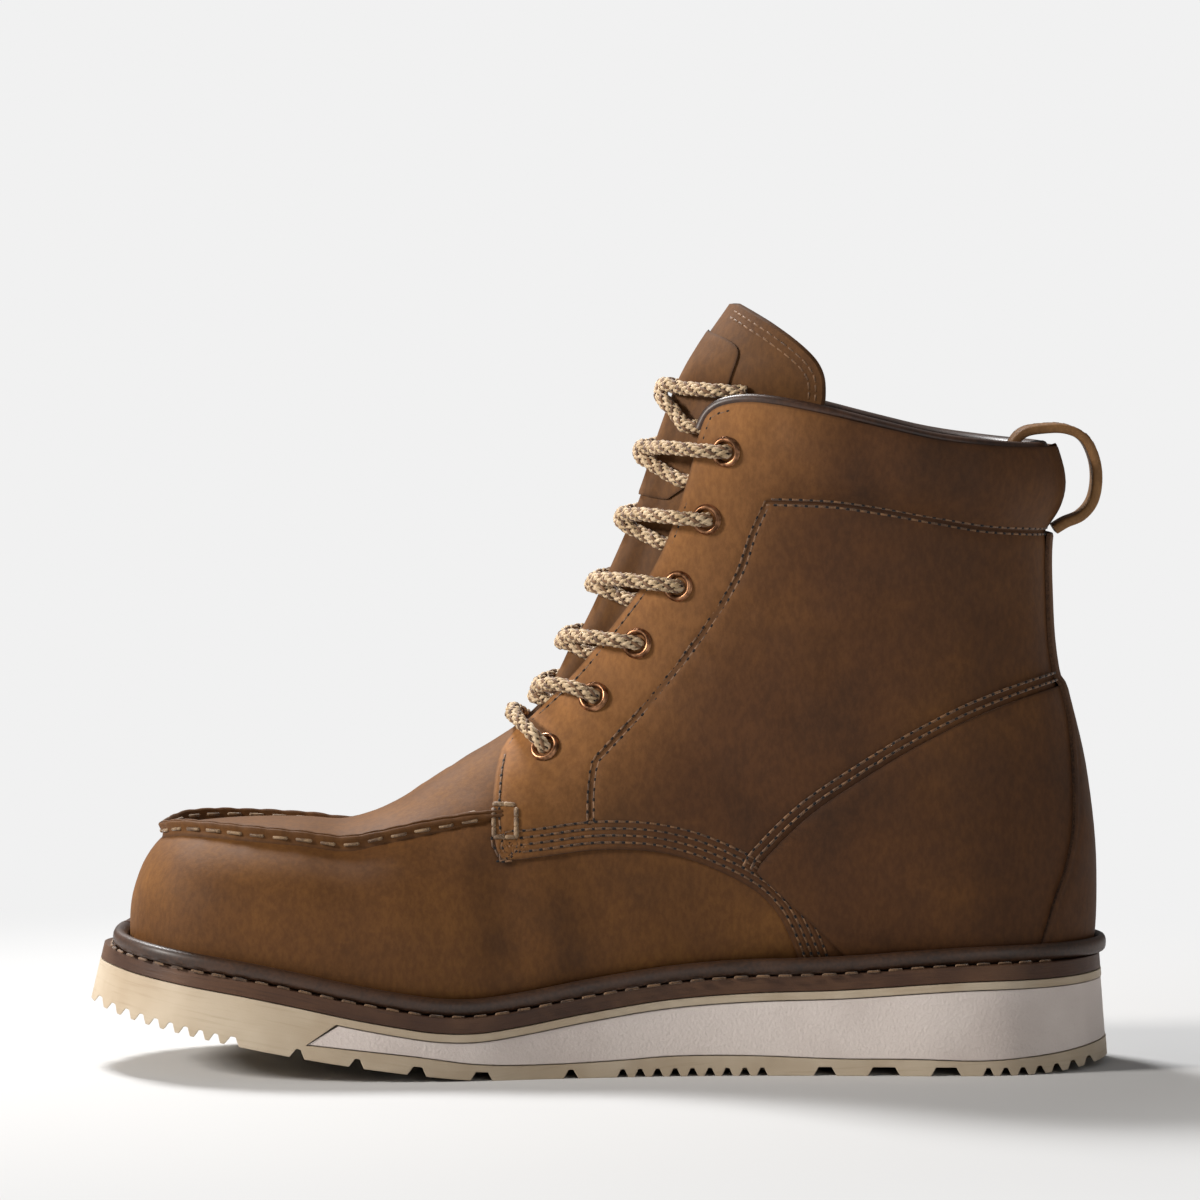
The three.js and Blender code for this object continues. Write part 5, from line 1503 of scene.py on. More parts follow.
@dataclass
class Seams:
    """Rows of stitches, gathered by thread and laid by one node group."""

    finishes: Finishes
    group: bpy.types.NodeTree = field(default_factory=stitch_group)

    def sew(self, name: str, rows: Sequence[Row], size: ThreadSize, thread: str) -> bpy.types.Object:
        """Makes one piece of all the stitches of a seam.

        Args:
            name: Name of the piece.
            rows: For each row of stitches their middles, directions and outward directions.
            size: Size of a stitch.
            thread: Name of the thread's material.

        Returns:
            The finished mesh object.
        """
        middles, along, up = (np.vstack([row[k] for row in rows]) for k in range(3))
        holder = make_object(name, middles, [])
        for key, values in (("along", along), ("up", up)):
            attribute = holder.data.attributes.new(key, "FLOAT_VECTOR", "POINT")
            attribute.data.foreach_set("vector", np.asarray(values, np.float32).ravel())
        modifier = holder.modifiers.new("threads", "NODES")
        modifier.node_group = self.group
        values = {
            "Length": size.length * MM,
            "Width": size.width * MM,
            "Height": size.height * MM,
            "Bend": size.bend * MM,
            "Seed": len(name),
            "Material": self.finishes.table[thread],
        }
        for socket in self.group.interface.items_tree:
            if socket.in_out == "INPUT" and socket.name in values:
                modifier[socket.identifier] = values[socket.name]
        graph = bpy.context.evaluated_depsgraph_get()
        mesh = bpy.data.meshes.new_from_object(holder.evaluated_get(graph))
        holder.modifiers.clear()
        holder.data = mesh
        mesh.name = name
        return holder

    def hole_shadows(self, name: str, rows: Sequence[Row], pitch: float) -> bpy.types.Object:
        """Painted shade: near-black flat marks between the stitches of rows, standing for the shadow in each
        needle hole.
        """
        shifted = [(middles + along * pitch / 2 + up * 0.02, along, up) for middles, along, up in rows]
        return self.sew(name, shifted, ThreadSize(1.15, 0.75, 0.3, 0.0), "hole_shadow_paint")

    @staticmethod
    def row(
        last: Last, line: Line, lift: float | LiftRule, pitch: float, start: float = 0.5
    ) -> Row:
        """Middles and directions of stitches at even steps along a line of the last.

        Args:
            last: The last.
            line: Rows of t and angle.
            lift: Height of the thread over the last.
            pitch: Distance between stitches.
            start: Where the first stitch lies, as a share of the pitch.

        Returns:
            Middles, directions and outward directions.
        """
        line = last.even(line, 0.6)
        height = lift(last.bare(line)[0]) if callable(lift) else lift
        points = last.points(line, height + crease_relief(last.bare(line)[0]))
        lengths = arc_lengths(points)
        wanted = np.arange(start * pitch, lengths[-1], pitch)
        along = unit(read_at(wanted, lengths, np.gradient(points, axis=0)))
        return read_at(wanted, lengths, points), along, read_at(wanted, lengths, last.normal(line))


def trimmed_back(line: Line) -> Line:
    """Cuts a line off where it first reaches the middle of the heel."""
    reached = np.nonzero(np.abs(line[:, 1]) > math.pi - 0.004)[0]
    if len(reached):
        line = line[: reached[0] + 1].copy()
        line[-1, 1] = math.copysign(math.pi, line[-1, 1])
    return line


@dataclass
class SubAssembly:
    """A part of the boot, built on the last with the shared finishes and seams."""

    last: Last
    finishes: Finishes
    seams: Seams

    def hand_over(
        self, piece: bpy.types.Object, material: str, angle: float, slot: Slot, nodes: Sequence[str] = ()
    ) -> None:
        """Dresses a piece in one material, shades it smooth and settles it in the frame.

        Args:
            piece: The piece.
            material: Name of its material.
            angle: Turn in degrees from which an edge stays sharp.
            slot: Record slot of its finish; not used.
            nodes: CAD nodes that it stands for.
        """
        self.finishes.dress(piece, material)
        smooth_shade(piece, angle)
        settle(piece, nodes)


@dataclass
class Upper(SubAssembly):
    """Leather of the upper: vamp, plug, quarters, counter and backstay, with their seams."""

    wall: float = 2.4
    overlay: float = 1.2
    counter_lift: float = 2.7
    backstay_lift: float = 4.1
    padding: float = 5.0
    foot_rise: float = 0.5
    edge_row: float = 2.0
    row_gap: float = 2.1
    stitch_pitch: float = 3.1
    least_width: float = 17.0
    counter_rows: tuple[float, float] = (2.0, 4.4)
    counter_trim: int = 9
    sunk: float = 0.12
    tack: tuple[float, float, float, float] = (-31.5, 70.5, -25.0, 79.5)

    def line(self, rows: Sequence[Sequence[float]], side: Side) -> Line:
        """A table's line on one side, cut off at the middle of the heel."""
        return trimmed_back(self.last.side_line(rows, side, 1.0))

    def front_line(self, side: Side) -> Line:
        """The quarter's front and lower edge down to the foot line."""
        line = self.line(QUARTER_FRONT, side)
        below = ~self.last.above_seat(line, self.foot_rise)
        return line[: int(np.nonzero(below)[0][0])] if below.any() else line

    def foot_between(self, side: Side, start: float, end: float) -> Line:
        """The part of the foot line between two values of t."""
        foot = self.last.foot_line(self.foot_rise, side)
        return foot[(foot[:, 0] > start) & (foot[:, 0] < end)]

    def rim(self, side: Side) -> Line:
        """The facing and the collar's edge as one line, from the vamp to the heel."""
        return self.line(FACING + COLLAR, side)

    def inner_wall(self, points: np.ndarray) -> np.ndarray:
        """Thickness of the upper's wall with the padding of the collar."""
        top = self.last.height_of(COLLAR[0])
        seam = top - 0.2 * self.last.shaft_height
        rise = smoothstep(seam - 8, seam + 10, points[:, 2])
        rise = rise * (1 - 0.35 * smoothstep(top - 12, top + 4, points[:, 2]))
        back = smoothstep(58.0, 84.0, points[:, 0])
        return self.wall + self.padding * rise * back

    def padded(self, points: np.ndarray) -> np.ndarray:
        """Swell of the padded collar above its seam."""
        top = self.last.height_of(COLLAR[0])
        x = np.clip((points[:, 0] - self.last.shift) / self.last.length, 0.17, 0.5)
        rows = np.array(COLLAR_SEAM)
        seam = self.last.height(self.last.x(x), 1, np.interp(x, rows[:, 0], rows[:, 2]))
        above = points[:, 2] - seam
        swell = smoothstep(0.0, 9.0, above) * (1 - 0.6 * smoothstep(top - 14, top, points[:, 2]))
        dip = np.exp(-(above / 3.0) ** 2)
        back = smoothstep(46.0, 58.0, points[:, 0])
        return (1.1 * swell - 0.8 * dip) * back

    def relief(self, points: np.ndarray) -> np.ndarray:
        """Creases and gentle unevenness of the leather."""
        soft = 0.14 * np.sin(points[:, 0] / 9.0 + points[:, 2] / 13.0) * np.sin(points[:, 2] / 11.0 + 1.0)
        return crease_relief(points) + soft

    def quarter(self, side: Side) -> bpy.types.Object:
        """One quarter with the eyestay, its facing edge and the collar in one piece."""
        front = self.front_line(side)
        foot = self.foot_between(side, front[-1, 0], self.last.end)
        rim = self.rim(side)
        back_t = np.linspace(foot[-1, 0] + 0.02, rim[-1, 0], 60)[1:-1]
        back = np.column_stack([back_t, np.full(len(back_t), math.pi * side.value)])
        outline = np.vstack([front, foot, back, rim[::-1]])
        grooves = [Groove(line, 0.28, 0.95) for line in self.edge_rows(side)]
        grooves.append(Groove(self.line(COLLAR_SEAM, side), 0.5, 1.5))
        grooves.append(Groove(self.line(EYESTAY_SEAM, side), 0.4, 1.2))
        panel = Panel(
            self.last, f"quarter_{side.name.lower()}", outline,
            lift=lambda p: self.overlay + self.padded(p), grooves=grooves, both_sides=True,
            relief=self.relief, under=lambda p: -self.inner_wall(p),
        )
        return panel.build(self.finishes, "nubuck_overlay", "raw_edge", "lining_leather")

    def edge_rows(self, side: Side) -> list[Line]:
        """Lines of the four rows along the lower edge, of which the first goes on up the front edge."""
        rows = []
        for k in range(4):
            line = self.last.moved(self.front_line(side), -(self.edge_row + self.row_gap * k) * side.value)[2:]
            if k:
                low = np.nonzero(self.last.bare(line)[0][:, 2] < self.tack[1])[0]
                line = line[int(low[0]):]
            rows.append(line)
        return rows

    def vamp(self) -> bpy.types.Object:
        """The vamp round the toe, whose ends run under both quarters."""
        ring = []
        for side in Side:
            seam = self.last.plan_line(MOC_SEAM, side)
            front = self.last.moved(self.front_line(side), -7.0 * side.value)[2:]
            foot = self.foot_between(side, 0.0, front[-1, 0])
            half = np.vstack([seam, front, foot[::-1], [[0.012, math.pi * side.value]]])
            ring.append(half if side is Side.NEAR else half[::-1])
        outline = np.vstack([ring[0], ring[1]])
        panel = Panel(
            self.last, "vamp", outline, lift=0.0, thickness=self.wall, both_sides=True,
            relief=self.relief, edge_drop=0.0,
        )
        return panel.build(self.finishes, "nubuck", "raw_edge", "lining_leather")

    def plug(self) -> bpy.types.Object:
        """The plug on top of the toes, inside the raised seam."""
        near, far = (self.last.plan_line(MOC_SEAM, side) for side in Side)
        back = self.last.even(np.array([[14.4, near[-1, 1]], [14.4, 0.0], [14.4, far[-1, 1]]]), 1.5)
        outline = np.vstack([near, back, far[::-1]])
        panel = Panel(
            self.last, "plug", outline, lift=0.0, thickness=self.wall, both_sides=True,
            relief=self.relief, edge_drop=0.0,
        )
        return panel.build(self.finishes, "nubuck", "raw_edge", "lining_leather")

    def counter(self) -> bpy.types.Object:
        """The overlay round the heel, in one piece from side to side."""
        halves = []
        for side in (Side.FAR, Side.NEAR):
            top = self.line(COUNTER_TOP, side)
            top = top[int(np.nonzero(self.last.above_seat(top, self.foot_rise))[0][0]):]
            foot = self.foot_between(side, top[0, 0], self.last.end)
            if side is Side.NEAR:
                top, foot = top + [0, 2 * math.pi], foot + [0, 2 * math.pi]
            halves.append((top, foot))
        (far_top, far_foot), (near_top, near_foot) = halves
        outline = np.vstack([far_top, near_top[::-1][1:], near_foot, far_foot[::-1][1:]])
        grooves = []
        for shift in self.counter_rows:
            for top, sign in ((far_top, -1), (near_top, 1)):
                grooves.append(Groove(self.last.moved(top, sign * shift), 0.25, 0.95))
        panel = Panel(
            self.last, "heel_counter", outline, lift=self.counter_lift, thickness=1.4,
            grooves=grooves, wrapped=True, relief=self.relief,
        )
        return panel.build(self.finishes, "nubuck_overlay", "raw_edge")

    def backstay(self) -> bpy.types.Object:
        """The strip down the back of the heel."""
        halves = []
        for side in (Side.FAR, Side.NEAR):
            edge = self.last.side_line(BACKSTAY_FRONT, side, 1.0)
            edge = edge[self.last.above_seat(edge, self.foot_rise)]
            angle = np.minimum(np.abs(edge[:, 1]), self.last.from_back(edge[:, 0], self.least_width / 2))
            edge = self.last.even(np.column_stack([edge[:, 0], angle * side.value]), 1.0)
            if side is Side.NEAR:
                edge = edge + [0, 2 * math.pi]
            halves.append(edge)
        far, near = halves
        foot_far = self.foot_between(Side.FAR, far[-1, 0], self.last.end)
        foot_near = self.foot_between(Side.NEAR, near[-1, 0], self.last.end) + [0, 2 * math.pi]
        across = self.last.even(np.array([near[0], [near[0, 0], math.pi], far[0]]), 1.0)[1:-1]
        outline = np.vstack([far, foot_far, foot_near[::-1][1:], near[::-1], across])
        counter = np.array(COUNTER_TOP)

        def lift(points: np.ndarray) -> np.ndarray:
            """Steps down from the counter to the quarter above it."""
            x = np.clip((points[:, 0] - self.last.shift) / self.last.length, 0.3, 0.56)
            edge = self.last.height(self.last.x(x), 1, np.interp(x, counter[:, 0], counter[:, 2]))
            over = smoothstep(edge - 1.0, edge + 3.5, points[:, 2])
            return self.backstay_lift - 1.4 * over

        shifts = ((far, -self.edge_row), (near, self.edge_row))
        grooves = [Groove(self.last.moved(line, shift), 0.25, 0.9) for line, shift in shifts]
        panel = Panel(
            self.last, "backstay", outline, lift=lift, thickness=1.4, grooves=grooves, wrapped=True,
            relief=self.relief,
        )
        return panel.build(self.finishes, "nubuck_overlay", "raw_edge")

    def sew(self) -> list[bpy.types.Object]:
        """Sews every seam that lies on the leather."""
        last, sew = self.last, self.seams
        rows, doubles, tops = [], [], []

        def over(points: np.ndarray) -> np.ndarray:
            """Height of the quarter's face."""
            return self.overlay + self.padded(points) - self.sunk

        for side in Side:
            for k, line in enumerate(self.edge_rows(side)):
                rows.append(sew.row(last, line, over, self.stitch_pitch, 0.5 + 0.5 * (k % 2)))
            rim = self.line(FACING, side)
            rows.append(sew.row(last, last.moved(rim, 2.1 * side.value)[2:-2], over, self.stitch_pitch))
            for table in (COLLAR_SEAM, EYESTAY_SEAM):
                for shift in (-0.95, 0.95):
                    line = last.moved(self.line(table, side), shift)
                    doubles.append(sew.row(last, line, over, self.stitch_pitch, 0.5 + 0.25 * shift))
            top = self.line(COUNTER_TOP, side)
            top = top[last.above_seat(top, 3.0)]
            for shift in self.counter_rows:
                line = last.moved(top, -shift * side.value)[: -self.counter_trim]
                tops.append(sew.row(last, line, self.counter_lift - self.sunk, self.stitch_pitch))
        pieces = [
            sew.sew("quarter_rows", rows, ThreadSize(), "seam_thread"),
            sew.sew("collar_rows", doubles, ThreadSize(), "seam_thread"),
            sew.sew("counter_rows", tops, ThreadSize(), "seam_thread"),
        ]
        # Painted shade at each needle hole of every row.
        pieces.append(sew.hole_shadows("upper_holes", [*rows, *doubles, *tops], self.stitch_pitch))
        for piece in pieces:
            settle(piece)
        return pieces

    def bar_tack(self) -> bpy.types.Object:
        """The small box of thick threads at the front corner of the quarter."""
        rows = []
        front, low, back, high = self.tack
        corners = {"low": ((front, low), (back, low)), "high": ((front, high), (back, high)),
                   "front": ((front, low), (front, high)), "back": ((back, low), (back, high))}
        for side in Side:
            for ends in corners.values():
                spots = self.last.locate(np.array(ends), side)
                rows.append(self.seams.row(self.last, spots, self.overlay + 0.35, 3.2, 0.5))
        piece = self.seams.sew("bar_tacks", rows, ThreadSize(3.6, 1.5, 1.0, 0.35), "heavy_thread")
        settle(piece)
        return piece

    def build(self) -> None:
        """Builds, sews and hands over the whole upper."""
        pieces = [self.vamp(), self.plug(), self.quarter(Side.NEAR), self.quarter(Side.FAR)]
        for piece in pieces:
            settle(piece, ["upper"] if piece is pieces[0] else ())
        settle(self.counter(), ["heel_counter"])
        settle(self.backstay(), ["backstay"])
        self.sew()
        self.bar_tack()


@dataclass
class MocSeam(SubAssembly):
    """The raised seam round the plug: two leather edges stood up and sewn through."""

    half: float = 1.45
    pitch: float = 7.2
    flare: float = 3.0

    def path(self) -> Line:
        """The seam's line from one end round the toe to the other."""
        near, far = (self.last.plan_line(MOC_SEAM, side, 0.8) for side in Side)
        return self.last.even(np.vstack([near[::-1], far[1:]]), 0.8)

    def build(self) -> None:
        """Builds the ridge and its thick stitches."""
        line = self.path()
        base, normal = self.last.bare(line)[0], self.last.normal(line)
        side = np.cross(normal, heading(base))
        lengths = arc_lengths(base)
        pinch = np.cos(math.pi * lengths / self.pitch) ** 4
        fade = smoothstep(0, 9, lengths) * smoothstep(0, 9, lengths[-1] - lengths)
        shape = (
            (self.flare, -0.5), (self.flare - 0.9, 0.12), (self.half + 0.25, 0.7), (self.half, 1.7),
            (self.half, 2.9), (self.half - 0.15, 3.7), (self.half - 0.55, 4.0), (0.4, 3.95), (0.12, 3.45),
        )
        half = np.array(shape)
        profile = np.vstack([half, half[::-1] * [-1, 1]])
        rings = []
        for k in range(len(line)):
            wave = 0.18 * math.sin(lengths[k] / 5.1) + 0.12 * math.sin(lengths[k] / 2.3 + 1)
            rows = profile.copy()
            tall = rows[:, 1] > 0.5
            rows[tall, 0] *= 1 - 0.13 * pinch[k]
            rows[tall, 0] += 0.5 * wave
            rows[tall, 1] *= (1 - 0.05 * pinch[k]) * (0.6 + 0.4 * fade[k])
            rows[tall, 1] += 0.4 * wave
            rings.append(base[k] + side[k] * rows[:, :1] + normal[k] * rows[:, 1:])
        piece = loft("moc_ridge", np.array(rings))
        # Darker at the ridge's top, its cut edge's dye, and darkest at its foot: painted shade where the ridge
        # stands up from the toe.
        edge = np.tile(np.where(profile[:, 1] > 3.6, 0.35, np.where(profile[:, 1] < 0.5, 0.75, 0.1)), len(line))
        set_attribute(piece, "edge", edge)
        self.hand_over(piece, "nubuck", 50.0, Slot.LEATHER)
        rows = []
        for sign in (1, -1):
            beside = self.last.moved(line, sign * (self.half + 0.25))
            middles, run, up = self.seams.row(self.last, beside[8:-8], 1.75, self.pitch, 0.5)
            out = np.cross(up, run) * sign
            rows.append((middles, run, out))
        stitches = self.seams.sew("moc_stitches", rows, ThreadSize(4.9, 1.15, 1.15, 0.55), "heavy_thread")
        settle(stitches)


def tongue_face(last: Last, points: np.ndarray) -> np.ndarray:
    """Lift of the tongue's face over the last, negative inwards."""
    top = last.height_of(COLLAR[0])
    recess = smoothstep(7.0, 14.0, np.abs(points[:, 1])) * (1 - smoothstep(top, top + 14, points[:, 2]))
    return -2.7 - 3.4 * recess


@dataclass
class Tongue(SubAssembly):
    """The padded tongue and its bare label."""

    thickness: float = 3.4
    sewn_points: int = 44
    rows: tuple[float, float] = (3.0, 5.2)

    def ring(self, rows: Sequence[Sequence[float]]) -> tuple[Line, Line]:
        """An edge table on both sides of the last."""
        return tuple(self.last.side_line(rows, side, 1.2) for side in Side)

    def face(self, points: np.ndarray) -> np.ndarray:
        """Lift of the tongue's face."""
        return tongue_face(self.last, points)

    def body(self) -> bpy.types.Object:
        """The tongue itself, with a rolled top edge."""
        near, far = self.ring(TONGUE_EDGE)
        across, low = self.last.middle_line(far[0], near[0]), self.last.middle_line(near[-1], far[-1])
        outline = np.vstack([near, low, far[::-1], across])
        panel = Panel(
            self.last, "tongue", outline, lift=self.face, thickness=self.thickness, both_sides=True,
            edge_drop=1.0,
        )
        piece = panel.build(self.finishes, "nubuck_tongue", "nubuck_tongue", "lining_leather")
        settle(piece, ["tongue"])
        return piece

    def label(self) -> bpy.types.Object:
        """The thin patch on the tongue's front, left bare."""
        near, far = self.ring(LABEL_EDGE)
        across = self.last.even(np.array([far[0], near[0]]), 1.2)[1:-1]
        low = self.last.even(np.array([near[-1], far[-1]]), 1.2)[1:-1]
        outline = np.vstack([near, low, far[::-1], across])
        panel = Panel(
            self.last, "tongue_label", outline, lift=lambda p: self.face(p) + 0.9, thickness=0.6,
            edge_drop=0.15,
        )
        piece = panel.build(self.finishes, "nubuck_tongue", "raw_edge")
        settle(piece, ["tongue_label"])
        return piece

    def build(self) -> None:
        """Builds the tongue, its label and the two rows of stitches along the top."""
        self.body()
        self.label()
        near, far = self.ring(TONGUE_EDGE)
        rows = []
        for side, line in ((-1, near), (1, far)):
            upper = line[: self.sewn_points]
            for shift in self.rows:
                rows.append(self.seams.row(self.last, self.last.moved(upper, shift * side), self.face, 2.9))
        stitches = self.seams.sew("tongue_stitches", rows, ThreadSize(2.3, 0.7, 0.6, 0.2), "seam_thread")
        settle(stitches)


@dataclass
class Binding(SubAssembly):
    """The rolled binding round the collar."""

    upper: Upper
    height: float = 3.4
    width: float = 5.6
    sides: int = 14
    start_drop: float = 9.0

    def build(self) -> None:
        """Sweeps the binding along the rim from one facing's top round the heel to the other."""
        halves = []
        for side in Side:
            rim = self.upper.rim(side)
            points = self.last.bare(rim)[0]
            top = self.last.height_of(FACING[-1])
            start = int(np.nonzero(points[:, 2] > top - self.start_drop)[0][0])
            halves.append(rim[start:])
        near, far = halves
        line = np.vstack([near, (far[::-1])[1:]])
        base = self.last.bare(line)[0]
        wall = self.upper.inner_wall(base)
        normal = self.last.normal(line)
        centre = base + normal * ((self.upper.overlay - wall) / 2)[:, None]
        lengths = arc_lengths(centre)
        packed = np.column_stack([centre, normal, wall])
        packed = resample(packed, lengths, 1.3)
        for _ in range(6):
            packed[1:-1] = (packed[:-2] + 2 * packed[1:-1] + packed[2:]) / 4
        centre, normal, wall = packed[:, :3], packed[:, 3:6], packed[:, 6]
        normal = unit(normal)
        up = np.cross(carried_frames(centre)[0], normal)
        up[up[:, 2] < 0] *= -1
        centre = centre + up * (0.3 + self.height / 2 - 1.0)
        rings = []
        for k in range(len(centre)):
            wide = min(self.width, wall[k] + self.upper.overlay + 0.4) / 2
            turn = circle(self.sides)
            across = np.sign(np.cos(turn)) * np.abs(np.cos(turn)) ** 0.8 * wide
            tall = np.sin(turn) * self.height / 2
            rings.append(centre[k] + normal[k] * across[:, None] + up[k] * tall[:, None])
        piece = loft("collar_binding", np.array(rings))
        self.hand_over(piece, "binding_leather", 60.0, Slot.BINDING, ["collar_binding"])


@dataclass
class PullLoop(SubAssembly):
    """The leather band folded over the back of the collar."""

    rise: float = 31.0
    width: float = 18.0
    thickness: float = 2.7

    def build(self) -> None:
        """Builds the band and its edge stitches."""
        x = self.last.x(np.array([row[0] for row in PULL_LOOP]))
        foot = self.last.height_of(BACKSTAY_FRONT[0]) + 0.3
        z = foot + np.array([row[1] for row in PULL_LOOP]) * self.rise
        path = centripetal(np.column_stack([x, np.zeros(len(x)), z]), False, 10)
        path = resample(path, arc_lengths(path), 1.0)
        along = heading(path)
        out = np.column_stack([-along[:, 2], np.zeros(len(along)), along[:, 0]])
        half, thick = self.width / 2, self.thickness / 2
        shape = [(-half, -thick + 0.5), (-half + 0.5, -thick), (half - 0.5, -thick), (half, -thick + 0.5),
                 (half, thick - 0.5), (half - 0.5, thick), (half - 1.6, thick), (half - 2.3, thick - 0.22),
                 (half - 3.0, thick), (0, thick + 0.1), (-half + 3.0, thick), (-half + 2.3, thick - 0.22),
                 (-half + 1.6, thick), (-half + 0.5, thick), (-half, thick - 0.5)]
        section = np.array(shape)
        flat = np.column_stack([np.zeros(len(section)), section[:, 0], np.zeros(len(section))])
        rings = [spot + flat + way * section[:, 1:] for spot, way in zip(path, out)]
        piece = loft("pull_loop", np.array(rings))
        self.hand_over(piece, "nubuck_loop", 50.0, Slot.OVERLAY, ["pull_loop"])
        rows = []
        lengths = arc_lengths(path)
        wanted = np.arange(2.0, lengths[-1] - 1.0, 2.9)
        spots, run, up = (read_at(wanted, lengths, values) for values in (path, along, out))
        for across in (-half + 2.3, half - 2.3):
            rows.append((spots + up * (thick - 0.05) + [0, across, 0], run, up))
        stitches = self.seams.sew("loop_stitches", rows, ThreadSize(2.3, 0.7, 0.6, 0.2), "seam_thread")
        settle(stitches)


@dataclass
class Eyelets(SubAssembly):
    """Twelve rolled metal eyelets along the facings."""

    overlay: float = 1.2
    count: int = 6
    pitch: float = 20.2
    start: float = 11.0
    inset: float = 9.0
    radius: float = 4.65
    hole: float = 2.75
    sides: int = 40

    def facing(self) -> tuple[np.ndarray, np.ndarray, np.ndarray]:
        """The facing seen from the side, its directions and its lengths."""
        table = np.array(FACING)
        x = self.last.x(table[:, 0])
        seen = spline(np.column_stack([x, self.last.height(x, table[:, 1], table[:, 2])]), 40)
        return seen, heading(seen), arc_lengths(seen)

    def at(self, distance: float, back: float) -> np.ndarray:
        """Point beside the facing's edge, seen from the side."""
        seen, along, lengths = self.facing()
        edge, run = (read_at(np.array([distance]), lengths, values)[0] for values in (seen, along))
        return np.array([edge[0] + run[1] * back, edge[1] - run[0] * back])

    def places(self) -> list[np.ndarray]:
        """Middles of the eyelets, seen from the side."""
        return [self.at(self.start + i * self.pitch, self.inset) for i in range(self.count)]

    def build(self) -> None:
        """Builds each eyelet as a turned form on the leather's face."""
        seat = self.overlay + 0.3
        shape = np.array([
            (self.hole, -2.3), (self.hole, 0.9), (self.hole + 0.12, 1.9), (self.hole + 0.5, 2.45),
            (self.hole + 1.0, 2.6), (self.hole + 1.4, 2.45), (self.radius - 0.25, 2.0),
            (self.radius, seat + 0.15), (self.radius - 0.1, seat - 0.2), (self.hole + 0.5, seat - 0.3),
            (self.hole + 0.5, -2.3),
        ])
        for side in Side:
            for i, spot in enumerate(self.places()):
                place = self.last.locate(spot[None, :], side)
                point, normal = self.last.bare(place)[0][0], self.last.normal(place)[0]
                first = unit(np.cross(normal, [0, 0, 1.0]))
                second = np.cross(normal, first)
                turn = circle(self.sides)
                rings = [
                    point + normal * h + r * (np.cos(turn)[:, None] * first + np.sin(turn)[:, None] * second)
                    for r, h in shape
                ]
                name = f"eyelet_{side.name.lower()}_{i + 1}"
                piece = loft(name, np.array(rings), closed=True)
                self.hand_over(piece, "antique_copper", 50.0, Slot.METAL, [name])


